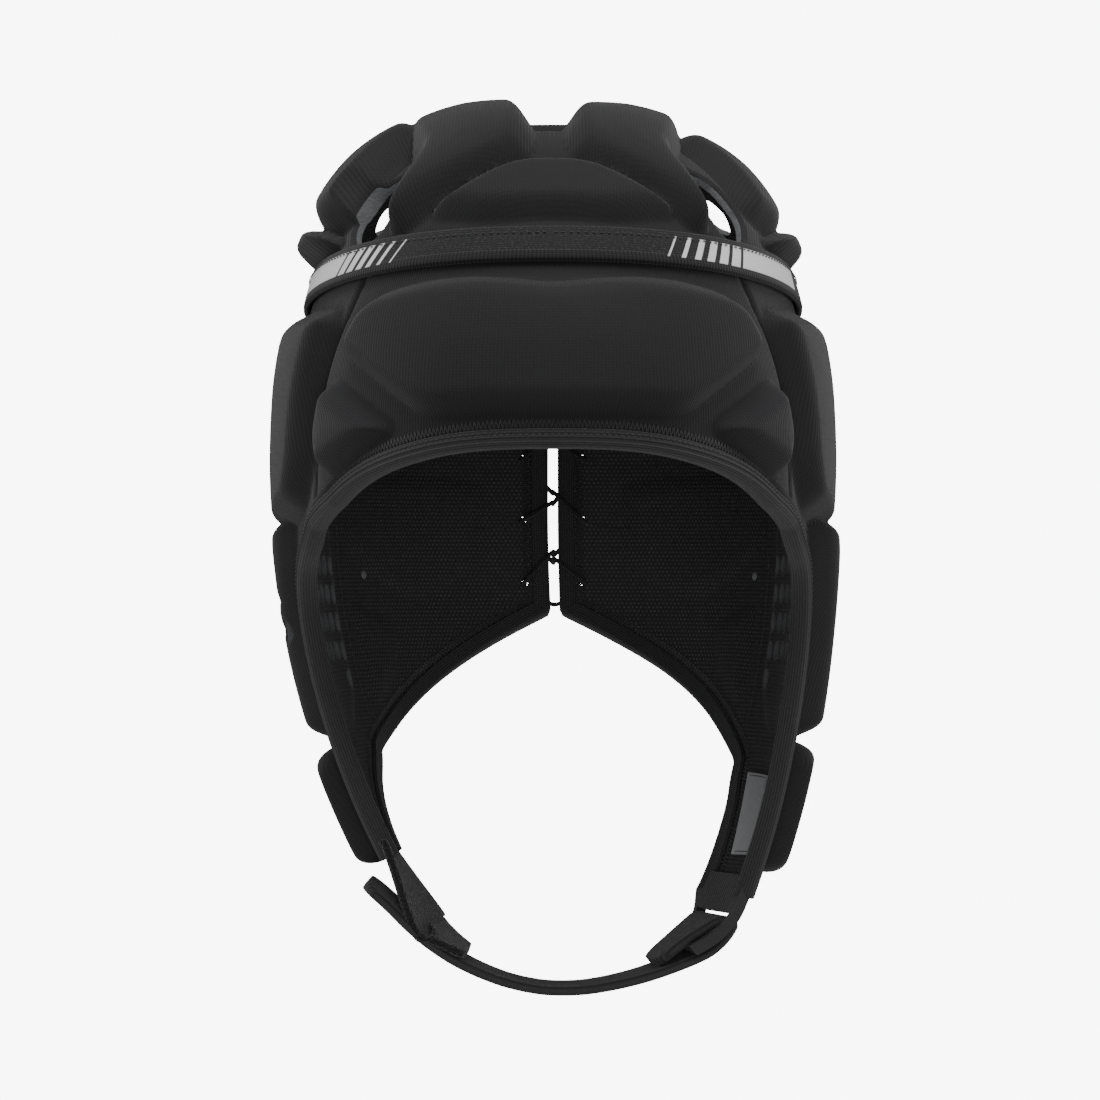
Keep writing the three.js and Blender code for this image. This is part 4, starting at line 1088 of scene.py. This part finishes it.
def head_band():
    """The band's section, carried round the head at the level where its plane cuts it."""
    azimuth = np.linspace(0, 360, 600, endpoint=False)
    section = tape_section(BAND_WIDTH, BAND_THICKNESS, 16, 5)
    level = band_level(azimuth)
    scale = level_length(azimuth, level)
    low = WALL + BAND_CLEARANCE + BAND_THICKNESS / 2
    reach, rise = section.T
    levels = level[:, None] - reach[None, :] / scale[:, None]
    angles = np.repeat(azimuth[:, None], len(section), axis=1)
    rings = head(angles, levels, np.broadcast_to(low + rise, angles.shape))
    wrapped = (angles + 180) % 360 - 180
    weave = np.stack([np.radians(wrapped) * WRAP_RADIUS, np.broadcast_to(reach, angles.shape)], -1)
    piece = sleeve("band_tape", rings, weave, (band_finish(),), looped=True)
    stitch_level = level - (BAND_WIDTH / 2 - BAND_HEM) / scale
    seam = head(azimuth, stitch_level, np.full(len(azimuth), low + BAND_THICKNESS / 2))
    dashes("band_stitches", "band", seam, outward(azimuth, stitch_level), BAND_STITCH, 0.62)
    return pieces_of(piece, "band", "head_band")


head_band()


# Bindings

OVERLOCK = 3 * MM
OVERLOCK_PITCH = 1.3 * MM


def binding_section():
    """Tape folded over an edge: an inner leg, a round fold and an outer leg with two narrow
    raised ridges near the fold, as reach beyond the edge and rise off the lining."""
    fold = 9
    turn = np.linspace(-np.pi / 2, np.pi / 2, fold)
    outer_half = (WALL + 2 * (TAPE + TAPE_FIT)) / 2
    middle = WALL / 2
    inner_half = outer_half - TAPE
    reach_fold = 1.4 * MM
    outer_fold = np.stack([reach_fold * np.cos(turn), middle + outer_half * np.sin(turn)], -1)
    inner_fold = np.stack([(reach_fold - TAPE) * np.cos(turn), middle + inner_half * np.sin(turn)], -1)
    count = 20
    run = np.linspace(0, 1, count + 1)[1:]
    ridges = 0.55 * MM * (np.exp(-((run - 0.1) / 0.09) ** 2) + np.exp(-((run - 0.46) / 0.09) ** 2))
    ends = np.array([1] * (count - 2) + [0.75, 0.3])
    outer_leg = np.stack([-run * TAPE_LEG, middle + inner_half + TAPE * ends + ridges * ends], -1)
    back_leg = np.stack([-run[::-1] * TAPE_LEG, np.full(count, middle + inner_half)], -1)
    lining_leg = np.stack([-run[::-1] * TAPE_LEG, middle - inner_half - TAPE * ends[::-1]], -1)
    hidden_leg = np.stack([-run * TAPE_LEG, np.full(count, middle - inner_half)], -1)
    return np.concatenate([lining_leg, outer_fold, outer_leg, back_leg, inner_fold[::-1], hidden_leg])


def fold_over(name, azimuth, level, *nodes):
    """The binding's section, carried along an edge: reach is measured square to it and level
    with the surface, and rise along the normal."""
    points = lining(azimuth, level)
    run = travelled(points)
    count = int(run[-1] / (1.5 * MM))
    even = np.linspace(0, run[-1], count)
    points = at_distances(points, run, even)
    azimuth, level = locate(points)
    normal = outward(azimuth, level)
    along = unit(np.gradient(points, axis=0))
    away = unit(np.cross(along, normal))
    section = binding_section()
    reach, rise = section.T
    spread = points[:, None] + away[:, None] * reach[None, :, None]
    rings = lift(spread, np.broadcast_to(rise, spread.shape[:2]))
    around = travelled(section)
    weave = np.stack(np.meshgrid(around, even)[::-1], -1)
    piece = sleeve(name, rings, weave, (ribbed_tape,), sharp=60)
    for word, rise_off, face in (("outer", WALL, 1), ("inner", 0, -1)):
        near, far = (lift(points - away * (TAPE_LEG + gap), np.full(len(points), rise_off))
                     for gap in (-0.3 * MM, OVERLOCK))
        zigzag(f"{name}_{word}_overlock", "tape", near, far, normal * face, OVERLOCK_PITCH)
    seam = lift(points - away * TAPE_LEG * 0.74, np.full(len(points), WALL + TAPE + TAPE_FIT))
    dashes(f"{name}_seam", "tape", seam, normal, 1.9 * MM, 0.6, 0.25 * MM)
    return pieces_of(piece, "tape", *nodes)


def flap_edges(side, count):
    """Face edge and rear edge of a cheek and flap, from the brow's end down."""
    rows = SEAM_ROWS - 1 + len(CHEEK_ROWS[side]) + len(FLAP_ROWS[side])
    return side_edges(side, np.linspace((SEAM_ROWS - 1) / rows, 1, count))


def face_binding():
    count = 200
    left, right = flap_edges(-1, count), flap_edges(1, count)
    across = np.linspace(0, 1, 160)
    brow_azimuth, brow = forehead_place(across, np.ones_like(across))
    azimuth = np.concatenate([-(left[::-1, 0] + GAP_ANGLE / 2), brow_azimuth[1:-1],
                              right[:, 0] + GAP_ANGLE / 2])
    level = np.concatenate([left[::-1, 1], brow[1:-1], right[:, 1]])
    return fold_over("face_tape", azimuth, level, "face_binding")


def nape_binding(side, name):
    """Down the split from the band's foot, along the nape and down the back of the flap."""
    foot = band_level(np.array([180.0]))
    foot = foot + (BAND_WIDTH / 2 + TAPE) / level_length(np.array([180.0]), foot)
    inner = 0 if side < 0 else 1
    down = np.linspace(0, 1, 160)
    split_azimuth, split = back_place(side, np.full_like(down, inner), down)
    below = split > foot[0]
    across = np.linspace(0, 1, 120)
    nape_azimuth, nape = back_place(side, across if side < 0 else 1 - across, np.ones_like(across))
    nape_azimuth, nape = (nape_azimuth[1:-1], nape[1:-1])
    flap = flap_edges(side, 200)
    lower = flap[:, 3] > NAPE_LINE[side][0][1] + 0.01
    azimuth = np.concatenate([split_azimuth[below], nape_azimuth, side * (flap[lower, 2] - GAP_ANGLE / 2)])
    level = np.concatenate([split[below], nape, flap[lower, 3]])
    if side > 0:
        azimuth, level = azimuth[::-1], level[::-1]
    return fold_over(f"nape_tape_{name}", azimuth, level, f"nape_binding_{name}")


face_binding()
nape_binding(-1, "left")
nape_binding(1, "right")


# Lace

CROSSING_SHARE = 0.42
LACE_END_LEVEL = 0.69
LACE_END_ASIDE = 8 * MM
LACE_STAGGER = 1.2 * MM
LACE_LOOP_SHARE = 0.75
LACE_INSIDE = -(TAPE_FIT + TAPE + LACE_CLEARANCE + LACE_DIAMETER / 2)
LACE_OUTSIDE = WALL - LACE_INSIDE
SPLIT_GUIDE = SPLIT_GAP / 2 - LACE_DIAMETER / 2 - LACE_CLEARANCE


def round_cord(name, points, radius, finish, sides=10, pitch=0.6 * MM):
    """A round tube along a line of points. Its frame is the tangent, the way out from the
    head and their cross product."""
    run = travelled(points)
    even = np.linspace(0, run[-1], max(8, int(run[-1] / pitch)))
    points = at_distances(points, run, even)
    along = unit(np.gradient(points, axis=0))
    normal = outward(*locate(points))
    aside = np.cross(along, normal)
    weak = np.linalg.norm(aside, axis=1) < 0.2
    aside[weak] = np.cross(along[weak], [0.2, 0.1, 1.0])
    aside = unit(aside)
    for k in range(1, len(aside)):
        if aside[k] @ aside[k - 1] < 0:
            aside[k] = -aside[k]
        aside[k] = aside[k] * 0.35 + aside[k - 1] * 0.65
        aside[k] -= along[k] * (aside[k] @ along[k])
        aside[k] /= np.linalg.norm(aside[k])
    up = np.cross(along, aside)
    turn = np.linspace(0, TURN, sides, endpoint=False)
    ring = aside[:, None] * np.cos(turn)[None, :, None] + up[:, None] * np.sin(turn)[None, :, None]
    weave = np.stack(np.meshgrid(turn * radius, even)[::-1], -1)
    return sleeve(name, points[:, None] + ring * radius, weave, (finish,))


def lace_half(side):
    """One end of the lace, upwards: through an eyelet, inside to the split, and out across it."""
    points = []
    rows = LACE_LEVELS[::-1]
    for k, level in enumerate(rows):
        hand = side if k % 2 == 0 else -side
        stops = [(hand * LACE_ASIDE, level, LACE_OUTSIDE), (hand * LACE_ASIDE, level, LACE_INSIDE)]
        if k + 1 < len(rows):
            cross = mix(level, rows[k + 1], CROSSING_SHARE) + side * LACE_STAGGER / SKIRT_DROP
            stops += [(hand * SPLIT_GUIDE, cross, LACE_INSIDE), (-hand * SPLIT_GUIDE, cross, LACE_OUTSIDE)]
        else:
            stops.append((hand * LACE_END_ASIDE, LACE_END_LEVEL, LACE_INSIDE))
        points += [head(aside_azimuth(aside), height, rise) for aside, height, rise in stops]
    return points


def back_lace():
    nape_end = NAPE_LINE[-1][-1][1]
    loop = head(180.0, mix(LACE_LEVELS[-1], nape_end, LACE_LOOP_SHARE), LACE_OUTSIDE)
    stops = [*lace_half(-1)[::-1], loop, *lace_half(1)]
    path = through(stops, np.linspace(0, 1, 900), centripetal=True)
    return pieces_of(round_cord("lace_cord", path, LACE_DIAMETER / 2, cord_braid), "lace", "back_lace")


back_lace()


# Strap

def flap_end(side, lap=0):
    """The middle and width direction of a flap's lower end, half way through its wall, or of a
    place a little above it."""
    front_azimuth, front, rear_azimuth, rear = FLAP_ROWS[side][-1]
    ahead = head(side * front_azimuth, front - lap / SKIRT_DROP, WALL / 2)
    behind = head(side * rear_azimuth, rear - lap / SKIRT_DROP, WALL / 2)
    return (ahead + behind) / 2, unit(behind - ahead)


def strap_control(end, out, up, turn):
    """A place between the chin point and a flap's end, and its width direction. Towards the left
    flap the rear edge leans in."""
    middle, across = end
    across = unit(across + np.array([STRAP_TILT if middle[0] < 0 else 0, 0, 0]))
    place = (mix(CHIN_SHIFT, middle[0], out), mix(0, middle[1], min(1, out)),
             mix(-CROWN_HEIGHT - CHIN_DROP, middle[2], up))
    return np.array(place), mix(np.array([0, 1, 0]), across, turn)


class Route:
    """A strap's route through controls of a middle and a width direction."""

    def __init__(self, controls):
        self.middles = np.array([middle for middle, _ in controls])
        self.widths = np.array([across for _, across in controls])
        line = through(self.middles, np.linspace(0, 1, 400))
        self.length = travelled(line)[-1]

    def at(self, share):
        share = np.atleast_1d(np.asarray(share, float))
        return through(self.middles, share), unit(through(self.widths, share))

    def inward(self, share):
        share = np.atleast_1d(np.asarray(share, float))
        step = 1e-3
        along = through(self.middles, share + step) - through(self.middles, share - step)
        return unit(np.cross(through(self.widths, share), along))


ANCHOR_ROWS = ((0.96, 0.77, 0.8), (0.88, 0.57, 0.6), (0.77, 0.42, 0.4))
SLOT_SHARE = 0.4
STRAP_FOLD = ((1, 1.05), (0.75, 1.1), (0.5, 0.75), (SLOT_SHARE, 0), (0.42, -0.85), (0.68, -1.1), (1, -1.05))
FOLD_TAIL = (0.567, 0.27, 0.3)
RIGHT_RUN = ((0.513, 0.13, 0.25), (0.225, 0.02, 0.1))
LEFT_RUN = ((0, 0, 0), (0.178, 0.023, 0.1), (0.366, 0.086, 0.3), (0.572, 0.2, 0.6), (0.74, 0.335, 0.8),
            (0.87, 0.475, 1), (1.005, 0.64, 1), (1.15, 0.8, 1))
# The two rows sewn on to the flap come before the route's start, in any rising order
SEWN_SHARES = (-0.2, -0.1)
TONGUE_SHARES = (0.865, 0.84, 0.815, 0.79, 0.765)
TONGUE_TWIST = (1, 0.8, 0.55, 0.3, 0.1)


def anchor_route():
    end = flap_end(1)
    return Route([end, *[strap_control(end, *row) for row in ANCHOR_ROWS]])


def strap_route():
    right, left, anchor = flap_end(1), flap_end(-1), anchor_route()
    offset = (ANCHOR_THICKNESS + STRAP_THICKNESS) / 2 + SEAM_GAP
    fold = []
    for along, side in STRAP_FOLD:
        middle, across = anchor.at(along)
        fold.append(((middle + anchor.inward(along) * side * offset)[0], across[0]))
    return Route([strap_control(right, *FOLD_TAIL), *fold,
                  *[strap_control(right, *row) for row in RIGHT_RUN],
                  *[strap_control(left, *row) for row in LEFT_RUN]])


def ribbon(name, route, shares, width, thickness, finish, corner=6 * MM):
    """A flat strap along a route, with a section of half-round edges and rounded ends."""
    middle, across = route.at(shares)
    run = travelled(middle)
    along = unit(np.gradient(middle, axis=0))
    normal = unit(np.cross(along, across))
    across = np.cross(normal, along)
    from_end = np.minimum(run, run[-1] - run)
    cut = np.clip(corner - from_end, 0, corner)
    half = width / 2 - (corner - np.sqrt(corner ** 2 - cut ** 2))
    section = tape_section(1, thickness / width, 18, 5)
    reach = section[:, 0][None, :] * 2 * half[:, None]
    rise = np.broadcast_to(section[:, 1] * width, reach.shape)
    rings = middle[:, None] + across[:, None] * reach[..., None] + normal[:, None] * rise[..., None]
    weave = np.stack([np.broadcast_to(run[:, None], reach.shape), reach], -1)
    return sleeve(name, rings, weave, (finish,))


def chin_strap():
    piece = ribbon("strap_webbing", strap_route(), np.linspace(0, 1, 300), STRAP_WIDTH, STRAP_THICKNESS,
                   webbing)
    return pieces_of(piece, "strap", "chin_strap")


def pile_tongue():
    strap = strap_route()
    offset = (TONGUE_THICKNESS + STRAP_THICKNESS) / 2 + TONGUE_CLEARANCE
    controls = []
    for share, twist in zip(TONGUE_SHARES, TONGUE_TWIST):
        middle, across = strap.at(share)
        lean = unit(across[0] + np.array([TONGUE_TILT * twist, 0, 0]))
        controls.append(((middle + strap.inward(share) * offset)[0], lean))
    route = Route([flap_end(-1, FLAP_LAP), flap_end(-1), *controls])
    piece = ribbon("tongue_pile", route, np.linspace(0, 1, 120), TONGUE_WIDTH, TONGUE_THICKNESS, looped_pile,
                   3 * MM)
    return pieces_of(piece, "pile", "pile_tongue")


def stretches(stops, counts):
    """Values from each stop to the next, each stretch with its own count."""
    runs = [np.linspace(low, high, count)[1:] for low, high, count in zip(stops, stops[1:], counts)]
    return np.concatenate([stops[:1], *runs])


def strap_anchor():
    """A plate between two offset grids along its route, with the slot's cells left out."""
    route = anchor_route()
    half = SLOT_LENGTH / 2 / route.length
    slot_half = (STRAP_WIDTH + 4 * SEAM_GAP) / 2
    shares = stretches((0, SLOT_SHARE - half, SLOT_SHARE + half, 1), (24, 14, 30))
    reach = stretches((-ANCHOR_WIDTH / 2, -slot_half, slot_half, ANCHOR_WIDTH / 2), (4, 30, 4))
    middle, across = route.at(shares)
    inward = route.inward(shares)
    sewn = [flap_end(1, lap) for lap in (FLAP_LAP, FLAP_LAP / 2)]
    middle = np.concatenate([[place for place, _ in sewn], middle])
    across = np.concatenate([[direction for _, direction in sewn], across])
    inward = np.concatenate([inward[:1], inward[:1], inward])
    shares = np.concatenate([SEWN_SHARES, shares])
    plate = middle[:, None] + across[:, None] * reach[None, :, None]
    offset = inward[:, None] * (ANCHOR_THICKNESS / 2 + LAP_PROUD)
    in_slot = (shares[:-1] >= SLOT_SHARE - half - 1e-6) & (shares[1:] <= SLOT_SHARE + half + 1e-6)
    wide = (reach[:-1] >= -slot_half - 1e-6) & (reach[1:] <= slot_half + 1e-6)
    keep = ~(in_slot[:, None] & wide[None, :])
    run = travelled(middle)
    weave = np.stack(np.broadcast_arrays(run[:, None], reach[None, :]), -1)
    piece = shell("anchor_webbing", plate - offset, plate + offset, keep, weave, (webbing, webbing, webbing))
    return pieces_of(piece, "strap", "strap_anchor")


chin_strap()
pile_tongue()
strap_anchor()


# Label

LABEL_TOP = ((96, 1.86), (113, 1.86))
LABEL_BOTTOM = ((89.5, 2.11), (108, 2.12))


def label_patch():
    """A bare patch between four places, inside the right flap, sewn down at its two ends."""
    across, down = np.meshgrid(np.linspace(0, 1, 24), np.linspace(0, 1, 30))
    azimuth, level = (mix(mix(LABEL_TOP[0][k], LABEL_TOP[1][k], across),
                          mix(LABEL_BOTTOM[0][k], LABEL_BOTTOM[1][k], across), down) for k in (0, 1))
    outer = head(azimuth, level, np.full(azimuth.shape, -TAPE_FIT))
    inner = head(azimuth, level, np.full(azimuth.shape, -TAPE_FIT - LABEL_THICKNESS))
    rows, columns = azimuth.shape
    keep = np.ones((rows - 1, columns - 1), bool)
    piece = shell("label_cloth", outer, inner, keep, wrap_weave(azimuth, level), (bare_label,) * 3)
    for row, word in ((1, "top"), (-2, "bottom")):
        dashes(f"label_stitches_{word}", "label", inner[row], -outward(azimuth[row], level[row]),
               1.6 * MM, 0.6, 0.15 * MM)
    return pieces_of(piece, "label", "label_patch")


label_patch()


# Studio

GLOW = 0.14
BACKDROP = 8.5
FLOOR_AT = -0.9
# Place, size in metres and power in watts of each lamp
LAMPS = (
    ((0, -0.55, 1.1), 1.1, 14),
    ((-1.0, 0.1, 0.0), 0.7, 3.5),
    ((1.0, 0.1, 0.0), 0.7, 3.5),
    ((0.1, -1.7, -0.2), 0.8, 6.5),
)
LAMPS_AIM = (0, 0, -0.12)


def studio():
    """A pale floor well below, a bright backdrop that only the camera sees, a faint even glow
    and large soft lights: overhead, one at each side and one in front."""
    scene = bpy.context.scene
    world = bpy.data.worlds.new("surround")
    world.use_nodes = True
    nodes, links = world.node_tree.nodes, world.node_tree.links
    nodes["Background"].inputs["Color"].default_value = (1, 1, 1, 1)
    seen = nodes.new("ShaderNodeLightPath")
    strength = nodes.new("ShaderNodeMapRange")
    strength.inputs["To Min"].default_value = GLOW
    strength.inputs["To Max"].default_value = BACKDROP
    links.new(seen.outputs["Is Camera Ray"], strength.inputs["Value"])
    links.new(strength.outputs[0], nodes["Background"].inputs["Strength"])
    scene.world = world
    for place, size, power in LAMPS:
        lamp = bpy.data.lights.new("softbox", "AREA")
        lamp.size = size
        lamp.energy = power
        box = bpy.data.objects.new("softbox", lamp)
        box.location = place
        aim = Vector(LAMPS_AIM) - Vector(place)
        box.rotation_euler = aim.to_track_quat("-Z", "Y").to_euler()
        scene.collection.objects.link(box)
    ring = np.linspace(0, TURN, 96, endpoint=False)
    disc = np.stack([np.cos(ring), np.sin(ring), np.full(96, FLOOR_AT)], -1)
    pale = Finish("floor", Roughness=0.9)
    pale.paint(pale.blend(pale.noise(pale.place(), 6, 2), (0.9, 0.9, 0.9), (0.92, 0.92, 0.92)))
    floor = make_mesh("floor", disc, [list(range(96))], finishes=(pale.material,))


studio()
